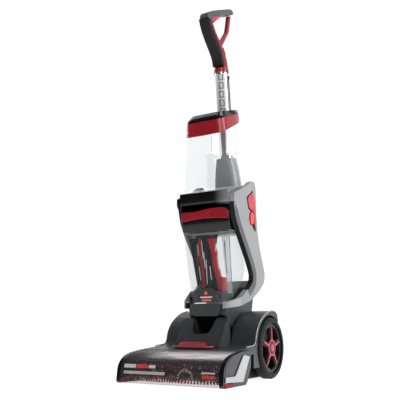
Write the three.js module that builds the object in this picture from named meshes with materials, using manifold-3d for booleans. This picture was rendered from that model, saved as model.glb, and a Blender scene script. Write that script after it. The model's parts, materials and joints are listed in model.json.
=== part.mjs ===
// Upright carpet cleaner: a wheeled cleaning foot, a reclining upright with a lower dirty-water tank and an
// upper clean-water tank, and a leaning handle tube with a loop grip. Millimetres, +Z up, front towards -Y.
// Inside the machine group Y = 0 is the wheel axle's plane, X = 0 the middle plane and Z = 0 the floor.
import * as THREE from "three";
import { mergeVertices } from "three/addons/utils/BufferGeometryUtils.js";
import Module from "manifold-3d";

const wasm = await Module();
wasm.setup();

// ---------------------------------------------------------------- driving dimensions
const GAP = 0.4; // clearance left between neighbouring pieces
const WALL = 3; // moulded wall thickness

const WHEEL_RADIUS = 81;
const AXLE = { y: 0, z: WHEEL_RADIUS, radius: 8 };
const WHEEL = { inner: 113, outer: 143, rimRadius: 66, hubRadius: 17, spokes: 5 };
const FRONT_Y = -305; // foremost face of the nozzle window
const REAR_Y = 93; // rear tip of the recline pedal
const HALF_WIDTH = 154; // outer face of the silver side chevrons

const NOZZLE = { halfWidth: 138.6, endInner: 139.4, endOuter: 151, deckHeight: 80, rear: -199 };
const ROLL = { radius: 22, halfLength: 131, frontY: -262, rearY: -214, z: 26, pulley: 9 };
const ROLL_SHAFT = { radius: 5, end: 144 };
const BRUSH_MOTOR = { y: -146, z: 40, radius: 27, from: -118, to: -32, pulley: 6, fan: 21 };
const BELT = { from: -137.6, to: -133.2, thickness: 2 };
const COVER = { fenderInner: 68, fenderOuter: 137, humpHalf: 67, trunkHalf: 62.5, base: 34 };

const TRUNK = { half: 57, yokeHalf: 61.5, yokeRadius: 34, top: 198 };
const ARM = { inner: 77, outer: 92 };
const LEAN = THREE.MathUtils.degToRad(6); // forward lean of the handle tube
const TUBE = { radius: 20, wall: 1.6, length: 334, y: 19.5, z: 566 };

const DECK_SLOPE = 0.29; // rise towards the rear of the deck that the clean tank stands on
const deckHeight = (y) => 503 + DECK_SLOPE * (y + 128);
const bandFoot = (y) => 665 + 0.55 * (y + 130); // lower edge of the clean tank's red cap band
const bandTop = (y) => 708 + 0.44 * (y + 128); // upper edge of that band
const capTop = (y) => 738 + 0.35 * (y + 104);

// ---------------------------------------------------------------- finishes
const finish = (color, roughness, metalness = 0, opacity = 1) => ({
  color,
  roughness,
  metalness,
  opacity,
  transparent: opacity < 1,
  flatShading: true,
});
const GRAPHITE = finish(0x3a3b3d, 0.5);
const BLACK = finish(0x0c0c0d, 0.3);
const SILVER = finish(0x9a9b9c, 0.35, 0.2);
const BRIGHT = finish(0xc4c5c6, 0.35, 0.3);
const RED = finish(0x8e1626, 0.35);
const ROSE = finish(0xc8505e, 0.4);
const ORANGE = finish(0xe04a35, 0.35);
const CLEAR = finish(0xdfe6ec, 0.08, 0, 0.3);
const SMOKE = finish(0x6f7276, 0.3, 0, 0.85);
const RUBBER = finish(0x111112, 0.8);
const CHROME = finish(0xd8d9da, 0.15, 1);
const STEEL = finish(0xb6b7b9, 0.3, 1);
const CASTING = finish(0x8a8c8f, 0.5, 0.6);

// ---------------------------------------------------------------- outlines
// A closed outline. Each point is [u, v] or [u, v, r], and r cuts that corner back by about r and rounds it.
function outline(points) {
  const shape = new THREE.Shape();
  const at = (i) => new THREE.Vector2(...points[(i + points.length) % points.length].slice(0, 2));
  const towards = (from, to, length) => {
    const step = to.clone().sub(from);
    return from.clone().add(step.setLength(Math.min(length, step.length() * 0.45)));
  };
  points.forEach(([, , round = 0], i) => {
    const corner = at(i);
    const start = round ? towards(corner, at(i - 1), round) : corner;
    if (i === 0) shape.moveTo(start.x, start.y);
    else shape.lineTo(start.x, start.y);
    if (round) {
      const end = towards(corner, at(i + 1), round);
      shape.quadraticCurveTo(corner.x, corner.y, end.x, end.y);
    }
  });
  shape.closePath();
  return shape;
}

// The points moved inwards by a distance, keeping each corner's rounding.
function inset(points, distance) {
  const flat = points.map(([u, v]) => new THREE.Vector2(u, v));
  const side = Math.sign(THREE.ShapeUtils.area(flat));
  return points.map(([u, v, round], i) => {
    const before = flat[(i + flat.length - 1) % flat.length];
    const after = flat[(i + 1) % flat.length];
    const normals = [
      [before, flat[i]],
      [flat[i], after],
    ].map(([from, to]) => {
      const along = to.clone().sub(from).normalize();
      return new THREE.Vector2(-along.y, along.x).multiplyScalar(side);
    });
    const mitre = normals[0].clone().add(normals[1]);
    mitre.multiplyScalar(distance / (1 + normals[0].dot(normals[1])));
    return [u + mitre.x, v + mitre.y, round];
  });
}

// A strip of even thickness whose one face runs through the points, thickened to the right of the run.
function strip(points, thickness) {
  const flat = points.map(([u, v]) => new THREE.Vector2(u, v));
  const back = flat.map((here, i) => {
    const before = here.clone().sub(flat[Math.max(i - 1, 0)]);
    const after = flat[Math.min(i + 1, flat.length - 1)].clone().sub(here);
    const run = before.normalize().add(after.normalize()).normalize();
    return [here.x + run.y * thickness, here.y - run.x * thickness];
  });
  return [...points.map(([u, v]) => [u, v]), ...back.reverse()];
}

// A left-right symmetric outline from its right half, listed from the front middle to the rear middle.
const mirrored = (right) => [
  ...right,
  ...right
    .filter(([x]) => x > 0)
    .map(([x, y, round]) => [-x, y, round])
    .reverse(),
];

const mirrorPoints = (points) => points.map(([x, y, round]) => [-x, y, round]);

// ---------------------------------------------------------------- solids
const UNIT = ["x", "y", "z"].map((axis) => new THREE.Vector3().setComponent("xyz".indexOf(axis), 1));
const ALONG_X = new THREE.Matrix4().makeBasis(UNIT[1], UNIT[2], UNIT[0]);
const ALONG_Y = new THREE.Matrix4().makeBasis(UNIT[0], UNIT[2], UNIT[1].clone().negate());
const ROUND_STEPS = 2; // straight pieces in each rounded corner

function swept(points, depth, steps = 1) {
  const options = { depth, steps, bevelEnabled: false, curveSegments: ROUND_STEPS };
  return new THREE.ExtrudeGeometry(outline(points), options);
}

// Prisms along the three axes: the outline is (y, z), (x, z) or (x, y), and the ends are given.
const prismX = (points, from, to) =>
  solid(swept(points, to - from).applyMatrix4(ALONG_X).translate(from, 0, 0));
const prismY = (points, from, to) =>
  solid(swept(points, to - from).applyMatrix4(ALONG_Y).translate(0, to, 0));
const prismZ = (points, from, to, { steps, map } = {}) =>
  solid(mapped(swept(points, to - from, steps).translate(0, 0, from), map));

const box = ([x0, x1], [y0, y1], [z0, z1]) =>
  solid(
    new THREE.BoxGeometry(x1 - x0, y1 - y0, z1 - z0).translate((x0 + x1) / 2, (y0 + y1) / 2, (z0 + z1) / 2),
  );
const rodX = (radius, from, to, y, z, sides = 24) =>
  solid(
    new THREE.CylinderGeometry(radius, radius, to - from, sides)
      .rotateZ(-Math.PI / 2)
      .translate((from + to) / 2, y, z),
  );
const rodZ = (radius, from, to, x, y, sides = 20) =>
  solid(
    new THREE.CylinderGeometry(radius, radius, to - from, sides)
      .rotateX(Math.PI / 2)
      .translate(x, y, (from + to) / 2),
  );

// A ring or disc turned about the X axis from a closed profile of [radius, x] points.
function turnedX(profile, sides = 40) {
  const closed = [...profile, profile[0]].map(([radius, x]) => new THREE.Vector2(radius, x));
  return solid(new THREE.LatheGeometry(closed, sides).rotateZ(-Math.PI / 2));
}

// Moves every vertex of a geometry by a function of its place.
function mapped(geometry, map) {
  if (!map) return geometry;
  const place = geometry.getAttribute("position");
  for (let i = 0; i < place.count; i++) {
    place.setXYZ(i, ...map(place.getX(i), place.getY(i), place.getZ(i)));
  }
  return geometry;
}

// A closed geometry as a manifold solid with its faces turned outwards.
function solid(geometry) {
  const bare = geometry.index ? geometry.toNonIndexed() : geometry.clone();
  bare.deleteAttribute("normal");
  bare.deleteAttribute("uv");
  const merged = mergeVertices(bare, 1e-4);
  const corners = merged.index.array;
  const faces = [];
  for (let i = 0; i < corners.length; i += 3) {
    const [a, b, c] = [corners[i], corners[i + 1], corners[i + 2]];
    if (a !== b && b !== c && c !== a) faces.push([a, b, c]);
  }
  const made = (order) =>
    new wasm.Manifold(
      new wasm.Mesh({
        numProp: 3,
        vertProperties: new Float32Array(merged.attributes.position.array),
        triVerts: new Uint32Array(faces.flatMap(order)),
      }),
    );
  const first = made((face) => face);
  return first.volume() > 0 ? first : made(([a, b, c]) => [a, c, b]);
}

const joined = (...solids) => solids.reduce((sum, next) => sum.add(next));
const turned = (form, matrix) => solid(geometryOf(form).applyMatrix4(matrix));

function geometryOf(form) {
  const { numProp, vertProperties, triVerts } = form.getMesh();
  const places = new Float32Array((vertProperties.length / numProp) * 3);
  for (let i = 0; i < places.length / 3; i++) {
    places.set(vertProperties.subarray(i * numProp, i * numProp + 3), i * 3);
  }
  return new THREE.BufferGeometry()
    .setAttribute("position", new THREE.BufferAttribute(places, 3))
    .setIndex(new THREE.BufferAttribute(triVerts, 1));
}

// A named mesh of one piece, added to its assembly.
function piece(assembly, name, form, look) {
  const geometry = geometryOf(form).toNonIndexed();
  geometry.computeVertexNormals();
  const mesh = new THREE.Mesh(geometry, new THREE.MeshStandardMaterial(look));
  mesh.name = name;
  assembly.add(mesh);
  return mesh;
}

const SIDES = [
  ["right", 1],
  ["left", -1],
];
// A prism along X for one side of the machine, between two distances from the middle plane.
const sidePrism = (points, side, near, far) =>
  side > 0 ? prismX(points, near, far) : prismX(points, -far, -near);
const sideRod = (radius, side, near, far, y, z) =>
  side > 0 ? rodX(radius, near, far, y, z) : rodX(radius, -far, -near, y, z);

// ---------------------------------------------------------------- foot
const PEDAL = { y: 50, z: 32, pin: 3, from: -100, to: -72 };
const axleHole = (from, to) => rodX(AXLE.radius + GAP, from, to, AXLE.y, AXLE.z);

function footChassis() {
  const front = -188;
  const floor = prismZ(
    mirrored([
      [139, front],
      [139, -150],
      [108, -114],
      [108, 62],
    ]),
    5,
    8,
  );
  const bulkhead = box([-135, 135], [front, front + WALL], [5, 72]);
  const ductMouth = box([-22, 34], [front - 1, front + WALL + 1], [40, 68]);
  const beltSlot = box([-139.5, -131], [front - 1, front + WALL + 1], [14, 62]);
  const rail = [
    [-112, 5],
    [62, 5],
    [62, 34],
    [18, 96, 8],
    [-18, 96, 8],
    [-60, 64],
    [-112, 60],
  ];
  const boss = [
    [-52, 5],
    [52, 5],
    [18, 96, 8],
    [-18, 96, 8],
  ];
  let chassis = joined(floor, bulkhead);
  for (const [, side] of SIDES) {
    chassis = joined(
      chassis,
      sidePrism(rail, side, 104, 108),
      sidePrism(boss, side, 63, 67),
      sidePrism([[-187, 0], [-152, 0], [-150, 7], [-187, 7]], side, 118, 136),
    );
  }
  const pedalPin = rodX(PEDAL.pin, -106, -68, PEDAL.y, PEDAL.z, 16);
  return chassis.subtract(joined(ductMouth, beltSlot)).subtract(axleHole(-120, 120)).add(pedalPin);
}

const DECK = [
  [NOZZLE.rear, 20],
  [NOZZLE.rear, NOZZLE.deckHeight],
  [-150, 84.5],
  [-96, 87],
  [-96, 20],
];
const FENDER = [
  [-150, 20],
  [-150, 84.5, 10],
  [-109, 88, 14],
  [-97, 98, 14],
  [-92, 124, 25],
  [-70, 150, 30],
  [-30, 172, 40],
  [20, 181, 25],
  [50, 174, 14],
  [54, 140],
  [54, 20],
];
const HUMP = [
  [-166, 20],
  [-166, 90, 6],
  [-150, 110, 16],
  [-128, 144, 20],
  [-117, 160, 4],
  [-106, 160],
  [-99, 90],
  [-99, 20],
];

function footCover() {
  const form = (depth) =>
    joined(
      prismX(inset(DECK, depth), -(NOZZLE.halfWidth - depth), NOZZLE.halfWidth - depth),
      prismX(inset(HUMP, depth), depth - COVER.humpHalf, COVER.humpHalf - depth),
      ...SIDES.map(([, side]) =>
        sidePrism(inset(FENDER, depth), side, COVER.fenderInner + depth, COVER.fenderOuter - depth),
      ),
    );
  const notch = prismY(
    [
      [-38, 170],
      [38, 170],
      [25, 118, 12],
      [-25, 118, 12],
    ],
    -200,
    -90,
  );
  const wells = SIDES.map(([, side]) =>
    joined(
      sideRod(87, side, 109, 141, AXLE.y, AXLE.z),
      sidePrism([[0, 0], [100, 0], [100, 140], [0, 140]], side, 109, 141),
    ),
  );
  return form(0)
    .subtract(form(WALL))
    .subtract(box([-160, 160], [-210, 80], [0, COVER.base]))
    .subtract(box([-160, 160], [-210, -112], [0, 68]))
    .subtract(box([-160, 160], [20, 80], [0, 100]))
    .subtract(box([-COVER.trunkHalf, COVER.trunkHalf], [-103, 80], [0, 200]))
    .subtract(rodX(AXLE.radius + 2, -120, 120, AXLE.y, AXLE.z))
    .subtract(notch)
    .subtract(joined(...wells));
}

const END_CAP = [
  [-250, 0, 3],
  [-250, 12],
  [-293, 12],
  [-297, 1],
  [-301, 5, 3],
  [-297, 40, 6],
  [-288, 54, 8],
  [-272, 65, 8],
  [-248, 73, 10],
  [-200, 79],
  [-152, 81],
  [-155, 40],
  [-182, 0, 4],
];
const CHEVRON = [
  [-292, 13],
  [-204, 9, 4],
  [-166, 66, 4],
  [-199, 71, 3],
  [-244, 24, 6],
  [-292, 25],
];

function nozzleEndCap(side) {
  const bearing = (y) => sideRod(ROLL_SHAFT.radius + GAP, side, 130, ROLL_SHAFT.end + GAP, y, ROLL.z);
  return sidePrism(END_CAP, side, NOZZLE.endInner, NOZZLE.endOuter).subtract(
    joined(bearing(ROLL.frontY), bearing(ROLL.rearY)),
  );
}

const WINDOW_RUN = [
  [-196, 80.4],
  [-236, 76],
  [-262, 70],
  [-282, 60],
  [-294, 48],
  [-300, 34],
  [FRONT_Y, 3],
];
const BAFFLE_RUN = [
  [-202, 65],
  [-240, 62],
  [-268, 55],
  [-282, 45],
  [-288, 32],
  [-291, 6],
];
const reversed = (points) => [...points].reverse();

function nozzleWindow() {
  const pane = prismX(strip(reversed(WINDOW_RUN), WALL), -NOZZLE.halfWidth, NOZZLE.halfWidth);
  const deckCut = box([-160, 160], [NOZZLE.rear - GAP, -150], [40, 100]);
  return pane.subtract(deckCut);
}

function brushRoll(y, turn) {
  const rows = 6;
  const steps = 8;
  const tuft = 0.2; // half angle of a row's tip
  const star = Array.from({ length: rows }, (_, row) => {
    const middle = (row / rows) * 2 * Math.PI;
    return [
      [-0.45, 14],
      [-tuft, ROLL.radius],
      [tuft, ROLL.radius],
      [0.45, 14],
    ].map(([angle, radius]) => [radius * Math.cos(middle + angle), radius * Math.sin(middle + angle)]);
  }).flat();
  const length = 2 * ROLL.halfLength;
  const twist = (u, v, w) => {
    const angle = turn * Math.abs(w / ROLL.halfLength - 1) * 0.8;
    return [u * Math.cos(angle) - v * Math.sin(angle), u * Math.sin(angle) + v * Math.cos(angle), w];
  };
  const bristles = mapped(swept(star, length, steps), twist);
  bristles.applyMatrix4(ALONG_X).translate(-ROLL.halfLength, y, ROLL.z);
  const shaft = rodX(ROLL_SHAFT.radius, -ROLL_SHAFT.end, ROLL_SHAFT.end, y, ROLL.z, 16);
  const pulley = rodX(ROLL.pulley, BELT.from - GAP, BELT.to + GAP, y, ROLL.z, 20);
  return joined(solid(bristles), shaft, pulley);
}

// The toothed belt: one loop round the motor's pulley and the pulleys of both brush rolls.
function driveBelt() {
  const wheels = [
    [ROLL.frontY, ROLL.z, ROLL.pulley],
    [ROLL.rearY, ROLL.z, ROLL.pulley],
    [BRUSH_MOTOR.y, BRUSH_MOTOR.z, BRUSH_MOTOR.pulley],
  ];
  const loop = (extra) => {
    const [front, rear, motor] = wheels.map(([y, z, radius]) => ({ y, z, r: radius + GAP + extra }));
    // the angle at which a straight run leaves one wheel and meets the next, above them or below
    const contact = (a, b, side) =>
      Math.atan2(b.z - a.z, b.y - a.y) +
      side * Math.acos((a.r - b.r) / Math.hypot(b.y - a.y, b.z - a.z));
    const [upper, under, lower] = [contact(front, motor, 1), -Math.PI / 2, contact(rear, motor, -1)];
    const arc = (wheel, from, to, count) =>
      Array.from({ length: count + 1 }, (_, i) => {
        const angle = THREE.MathUtils.lerp(from, to, i / count);
        return [wheel.y + wheel.r * Math.cos(angle), wheel.z + wheel.r * Math.sin(angle)];
      });
    return [
      ...arc(front, upper, under + 2 * Math.PI, 10),
      ...arc(rear, under, lower, 2),
      ...arc(motor, lower, upper, 8),
    ];
  };
  return prismX(loop(BELT.thickness), BELT.from, BELT.to).subtract(
    prismX(loop(0), BELT.from - 1, BELT.to + 1),
  );
}

function brushMotor() {
  const { y, z, radius, from, to } = BRUSH_MOTOR;
  const foot = box([from + 8, to - 8], [y - 12, y + 12], [8 + GAP, 20]);
  const shaftHole = rodX(3 + GAP, from - 1, from + 20, y, z, 12);
  return joined(rodX(radius, from, to, y, z, 28), rodX(9, to, to + 6, y, z, 16), foot).subtract(shaftHole);
}

function motorPulley() {
  const { y, z, pulley, fan, from } = BRUSH_MOTOR;
  const shaft = rodX(3, -138.4, from + 15, y, z, 12);
  const rim = rodX(pulley, BELT.from - 0.6, BELT.to + 2, y, z, 20);
  return joined(shaft, rim, rodX(fan, from - 8, from - 4, y, z, 28));
}

function nozzleLatch() {
  const plate = prismZ(
    mirrored([
      [50, -198, 6],
      [59, -182, 4],
      [59, -174, 3],
    ]),
    85.5,
    90,
  );
  const grip = prismX(
    [
      [-195, 89],
      [-190, 95, 4],
      [-176, 98, 3],
      [-173, 89],
    ],
    -36,
    36,
  );
  return joined(plate, grip);
}

function reclinePedal() {
  const arm = [
    [44, 26, 4],
    [44, 38, 4],
    [60, 42, 6],
    [REAR_Y, 36, 3],
    [REAR_Y, 30, 3],
    [62, 33, 6],
    [56, 26, 4],
  ];
  const bore = rodX(PEDAL.pin + GAP, PEDAL.from - 1, PEDAL.to + 1, PEDAL.y, PEDAL.z, 16);
  return prismX(arm, PEDAL.from, PEDAL.to).subtract(bore);
}

function spinAxle() {
  return rodX(AXLE.radius, -WHEEL.outer + 2, WHEEL.outer - 2, AXLE.y, AXLE.z);
}

function buildFoot(machine) {
  const foot = new THREE.Group();
  machine.add(foot);
  piece(foot, "foot_chassis", footChassis(), BLACK);
  piece(foot, "foot_cover", footCover(), GRAPHITE);
  for (const [name, side] of SIDES) {
    piece(foot, `nozzle_end_cap_${name}`, nozzleEndCap(side), BLACK);
    piece(foot, `side_chevron_${name}`, sidePrism(CHEVRON, side, NOZZLE.endOuter + GAP, HALF_WIDTH), BRIGHT);
    const bristles = sidePrism([[-291, 0.4], [-252, 0.4], [-252, 10.4], [-291, 10.4]], side, 144, 153);
    piece(foot, `edge_brush_${name}`, bristles, RED);
  }
  piece(foot, "nozzle_window", nozzleWindow(), CLEAR);
  const baffle = prismX(strip(reversed(BAFFLE_RUN), 2), 1 - NOZZLE.halfWidth, NOZZLE.halfWidth - 1);
  piece(foot, "suction_baffle", baffle, CLEAR);
  piece(foot, "nozzle_latch", nozzleLatch(), RED);
  piece(foot, "spray_bar", sprayBar(), BLACK);
  piece(foot, "front_brush_roll", brushRoll(ROLL.frontY, 1), RED);
  piece(foot, "rear_brush_roll", brushRoll(ROLL.rearY, -1), RED);
  piece(foot, "drive_belt", driveBelt(), RUBBER);
  piece(foot, "brush_motor", brushMotor(), CASTING);
  piece(foot, "motor_pulley", motorPulley(), STEEL);
  piece(foot, "floor_duct", floorDuct(), BLACK);
  piece(foot, "main_axle", spinAxle(), STEEL);
  piece(foot, "recline_pedal", reclinePedal(), GRAPHITE);
}

function sprayBar() {
  const bar = prismX([[-244, 46], [-244, 54, 3], [-232, 54, 3], [-232, 46]], -110, 110);
  const tips = [-75, -25, 25, 75].map((x) => box([x - 4, x + 4], [-241, -235], [42, 47]));
  return joined(bar, ...tips);
}

function floorDuct() {
  const outer = [[-184.4, 38], [-184.4, 70, 4], [-120, 72, 20], [-52, 62], [-52, 30], [-120, 38, 10]];
  const bore = [[-190, 41], [-190, 67], [-120, 69, 20], [-40, 59], [-40, 33], [-120, 41, 10]];
  return prismX(outer, -26, 38).subtract(prismX(bore, -23, 35));
}

// ---------------------------------------------------------------- wheels
function buildWheels(machine) {
  const tyreProfile = [
    [WHEEL.rimRadius + GAP, -15],
    [76, -15],
    [WHEEL_RADIUS, -11],
    [WHEEL_RADIUS, 11],
    [76, 15],
    [WHEEL.rimRadius + GAP, 15],
  ];
  for (const [name, side] of SIDES) {
    const wheel = new THREE.Group();
    wheel.position.set((side * (WHEEL.inner + WHEEL.outer)) / 2, AXLE.y, AXLE.z);
    machine.add(wheel);
    piece(wheel, `tyre_${name}`, turnedX(tyreProfile, 36), RUBBER);
    piece(wheel, `wheel_rim_${name}`, wheelRim(side), GRAPHITE);
    piece(wheel, `wheel_star_${name}`, wheelStar(side), ROSE);
  }
}

function wheelRim(side) {
  const { rimRadius, hubRadius, spokes } = WHEEL;
  const circle = (radius, count) =>
    Array.from({ length: count }, (_, i) => {
      const angle = (i / count) * 2 * Math.PI;
      return [radius * Math.cos(angle), radius * Math.sin(angle)];
    });
  const bay = (i) => {
    const middle = ((i + 0.5) / spokes) * 2 * Math.PI + Math.PI / 2;
    return [
      [-0.34, 24],
      [-0.5, 56],
      [0, 58.5],
      [0.5, 56],
      [0.34, 24],
    ].map(([angle, radius]) => [radius * Math.cos(middle + angle), radius * Math.sin(middle + angle)]);
  };
  const face = sidePrism(circle(rimRadius, 36), side, 2, 10);
  const barrel = turnedX([[60, -13], [rimRadius, -13], [rimRadius, 9], [60, 9]], 36);
  const hub = rodX(hubRadius, -13.5, 13.5, 0, 0);
  const bays = Array.from({ length: spokes }, (_, i) => sidePrism(bay(i), side, 0, 12));
  return joined(face, barrel, hub).subtract(joined(...bays)).subtract(rodX(AXLE.radius + GAP, -20, 20, 0, 0));
}

// The raised star of trim along the spokes, just off the rim's outer face.
function wheelStar(side) {
  const arms = Array.from({ length: WHEEL.spokes }, (_, i) => {
    const angle = (i / WHEEL.spokes) * 2 * Math.PI + Math.PI / 2;
    const along = (radius, offset) => [
      radius * Math.cos(angle) - offset * Math.sin(angle),
      radius * Math.sin(angle) + offset * Math.cos(angle),
    ];
    return sidePrism([along(18, -3), along(52, -2), along(52, 2), along(18, 3)], side, 10 + GAP, 13);
  });
  const middle = sideRod(22, side, 10 + GAP, 13, 0, 0);
  return joined(middle, ...arms).subtract(rodX(hubOuter(), -20, 20, 0, 0));
}
const hubOuter = () => WHEEL.hubRadius + GAP;

// ---------------------------------------------------------------- upright body
const NECK = [
  [-33, 84],
  [-56, 116, 10],
  [-105, 167, 4],
  [-108, TRUNK.top, 3],
  [-30, TRUNK.top, 10],
  [20, 212, 10],
  [58, 236, 4],
  [64, 226, 4],
  [50, 170, 20],
  [33, 84],
];
const BRIDGE = [
  [18, 213],
  [59, 236],
  [68, 262, 6],
  [52, 268, 4],
  [18, 244, 4],
];

function trunkHousing() {
  const yoke = rodX(TRUNK.yokeRadius, -TRUNK.yokeHalf, TRUNK.yokeHalf, AXLE.y, AXLE.z, 36);
  const shell = joined(yoke, prismX(NECK, -TRUNK.half, TRUNK.half), prismX(BRIDGE, GAP - ARM.inner, ARM.inner - GAP));
  const room = prismX(
    [
      [-60, 128],
      [-98, 168],
      [-102, 192],
      [-30, 192],
      [20, 206],
      [50, 224],
      [52, 200],
      [42, 124],
    ],
    -TRUNK.half + 4,
    TRUNK.half - 4,
  );
  const back = box([-40, 40], [30, 80], [130, 214]);
  return shell.subtract(joined(room, back)).subtract(axleHole(-80, 80));
}

function trunkBackCover() {
  const skin = strip([[45.4, 131], [50.4, 168], [60.4, 213]], 4);
  return prismX(skin, -39.6, 39.6);
}

function seatBand() {
  const face = [
    [-50, 197, 5],
    [50, 197, 5],
    [37, 164, 6],
    [-37, 164, 6],
  ];
  return prismY(face, -119, -108 - GAP);
}

const ARM_OUTLINE = [
  [-118, 470, 5],
  [-119, 493, 5],
  [-69, 513, 20],
  [-30, 532, 10],
  [-7, 548, 8],
  [14, 547, 6],
  [20, 520, 20],
  [19, 457, 20],
  [29, 382, 30],
  [49, 334, 20],
  [71, 286, 16],
  [66, 261, 14],
  [33, 236, 20],
  [-30, 205, 12],
  [-42, 202],
  [-42, 236],
  [-12, 256, 14],
  [-4, 276, 12],
  [-26, 313, 20],
  [-72, 370, 20],
  [-98, 404, 20],
  [-113, 430, 12],
];
const MODE_BUTTON = { y: -14, z: 437, halfY: 11, halfZ: 18 };

function ovalPoints({ y, z, halfY, halfZ }, extra = 0) {
  const count = 20;
  return Array.from({ length: count }, (_, i) => {
    const angle = (i / count) * 2 * Math.PI;
    return [y + (halfY + extra) * Math.cos(angle), z + (halfZ + extra) * Math.sin(angle)];
  });
}

// The arm's lower end draws in towards the middle plane, round the foot of the tank: its plan for the right
// arm, and the heights of its lower and upper faces along the machine.
const TOE_PLAN = [
  [ARM.inner, -41],
  [ARM.outer, -41],
  [88, -82, 10],
  [66, -117, 10],
  [52, -119, 3],
  [52, -109, 3],
  [61, -107, 4],
  [73, -80, 10],
];
const TOE_HEIGHTS = [
  { y: -41, low: 202.2, high: 236.6 },
  { y: -58, low: 197, high: 225 },
  { y: -84, low: 190, high: 208 },
  { y: -120, low: 184, high: 200 },
];

function toeHeight(y, face) {
  const next = TOE_HEIGHTS.findIndex((station) => station.y < y);
  if (next <= 0) return TOE_HEIGHTS.at(next)[face];
  const [near, far] = [TOE_HEIGHTS[next - 1], TOE_HEIGHTS[next]];
  return THREE.MathUtils.mapLinear(y, near.y, far.y, near[face], far[face]);
}

function frameArm(side) {
  const lift = (x, y, z) => [x, y, THREE.MathUtils.lerp(toeHeight(y, "low"), toeHeight(y, "high"), z)];
  const toe = prismZ(side > 0 ? TOE_PLAN : mirrorPoints(TOE_PLAN), 0, 1, { map: lift });
  const arm = joined(sidePrism(ARM_OUTLINE, side, ARM.inner, ARM.outer), toe);
  const recess = sidePrism(ovalPoints(MODE_BUTTON, GAP), side, ARM.outer - 6, ARM.outer + 5);
  return side > 0 ? arm.subtract(recess) : arm;
}

const ACCENT = [
  [-38, 492, 3],
  [-3, 516, 6],
  [11, 488, 10],
  [12, 408, 3],
  [3, 426, 4],
  [-1, 458, 4],
  [-28, 464, 6],
];

function upperHousing() {
  const collar = [
    [-127, 468, 8],
    [-128, deckHeight(-128), 4],
    [26, deckHeight(26)],
    [26, 470],
    [22, 396, 6],
    [-10, 396, 6],
    [-20, 463],
    [-40, 466],
  ];
  const spine = [
    [0, 400],
    [0, 530],
    [20, deckHeight(20)],
    [54, deckHeight(54), 4],
    [54, 440, 20],
    [22, 400],
  ];
  const half = ARM.inner - GAP;
  const body = joined(prismX(collar, -half, half), prismX(spine, -50, 50));
  const motorBay = rodX(38, -46, 46, 10, 494, 32).add(box([-45, 45], [10, 60], [458, 530]));
  const socketHole = turned(rodZ(TUBE.radius + 1, -20, 60, 0, 0, 28), tubeMatrix(0));
  return body.subtract(motorBay).subtract(socketHole);
}

// From the tube's own frame, z along the tube from a height above its foot, to the machine's.
const tubeMatrix = (up) =>
  new THREE.Matrix4()
    .makeTranslation(0, TUBE.y - up * Math.sin(LEAN), TUBE.z + up * Math.cos(LEAN))
    .multiply(new THREE.Matrix4().makeRotationX(LEAN));

function rearCover() {
  const plate = box([-44.6, 44.6], [50, 54], [458.4, 529.6]);
  const hookStem = box([-5, 5], [53, 70], [466, 472]);
  const hookLip = box([-14, 14], [66, 70], [458, 472]);
  const openings = ROCKERS.map(({ x, z }) => box([x - 9.4, x + 9.4], [49, 56], [z - 13.4, z + 13.4]));
  const gland = glandHole(GLAND.radius + GAP);
  return joined(plate, hookStem, hookLip).subtract(joined(...openings, gland));
}

const ROCKERS = [
  { name: "power_switch", x: -24, z: 508 },
  { name: "heat_switch", x: 24, z: 508 },
];
const ROCKER_TILT = THREE.MathUtils.degToRad(12);
const GLAND = { x: 28, z: 474, radius: 8 };
const glandHole = (radius) =>
  solid(new THREE.CylinderGeometry(radius, radius, 30, 20).translate(GLAND.x, 52, GLAND.z));

function cordGland() {
  const sleeve = new THREE.CylinderGeometry(GLAND.radius, GLAND.radius, 14, 20).translate(GLAND.x, 55, GLAND.z);
  const flange = new THREE.CylinderGeometry(11, 11, 3, 20).translate(GLAND.x, 54 + GAP + 1.5, GLAND.z);
  return joined(solid(sleeve), solid(flange)).subtract(glandHole(4));
}

// A rocker about its own pivot: the two faces meet in a shallow valley, one face flush at each end of its throw.
function rocker() {
  const face = Math.tan(ROCKER_TILT) * 12.5;
  const profile = [
    [-6, -8],
    [2.2, -12.6],
    [2.2 + face, -12.6],
    [2.2, 0],
    [2.2, 12.6],
    [-6, 8],
  ];
  return prismX(profile, -9, 9);
}

function vacuumMotor() {
  const can = rodX(35, -28, 28, 10, 494, 32);
  return joined(can, rodX(24, -40, 40, 10, 494, 24));
}

function tubeSocket() {
  const foot = deckHeight(20) + 8;
  const plan = mirrored([
    [26, -31, 20],
    [42, -12, 20],
    [42, 14, 20],
    [26, 31, 20],
  ]);
  const height = 90;
  const shoulder = height - 12; // above it the tower's top edge is drawn in
  const narrow = (x, y, z) => {
    const up = Math.min(z / shoulder, 1);
    const step = z > shoulder ? 1 : 0;
    return [x * (1 - 0.2 * up - 0.07 * step), y * (1 - 0.06 * up - 0.04 * step), z];
  };
  const tower = prismZ(plan, 0, height, { steps: 8, map: narrow });
  const placed = turned(tower, socketMatrix(foot));
  const bore = turned(rodZ(TUBE.radius + GAP, -60, 90, 0, 0, 28), tubeMatrix(0));
  return placed.subtract(prismX(deckSlab(-200, 0), -60, 60)).subtract(bore);
}
const socketMatrix = (z) => tubeMatrix((z - 14 - TUBE.z) / Math.cos(LEAN));

// A slab from one height to another above the sloping deck, as a (y, z) outline.
const deckSlab = (low, high) => [
  [-160, deckHeight(-160) + low + GAP],
  [100, deckHeight(100) + low + GAP],
  [100, deckHeight(100) + high + GAP],
  [-160, deckHeight(-160) + high + GAP],
];

function handleTube() {
  const ring = rodZ(TUBE.radius, 0, TUBE.length, 0, 0, 28);
  const bore = rodZ(TUBE.radius - TUBE.wall, -1, TUBE.length + 1, 0, 0, 28);
  return ring.subtract(bore);
}

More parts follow.
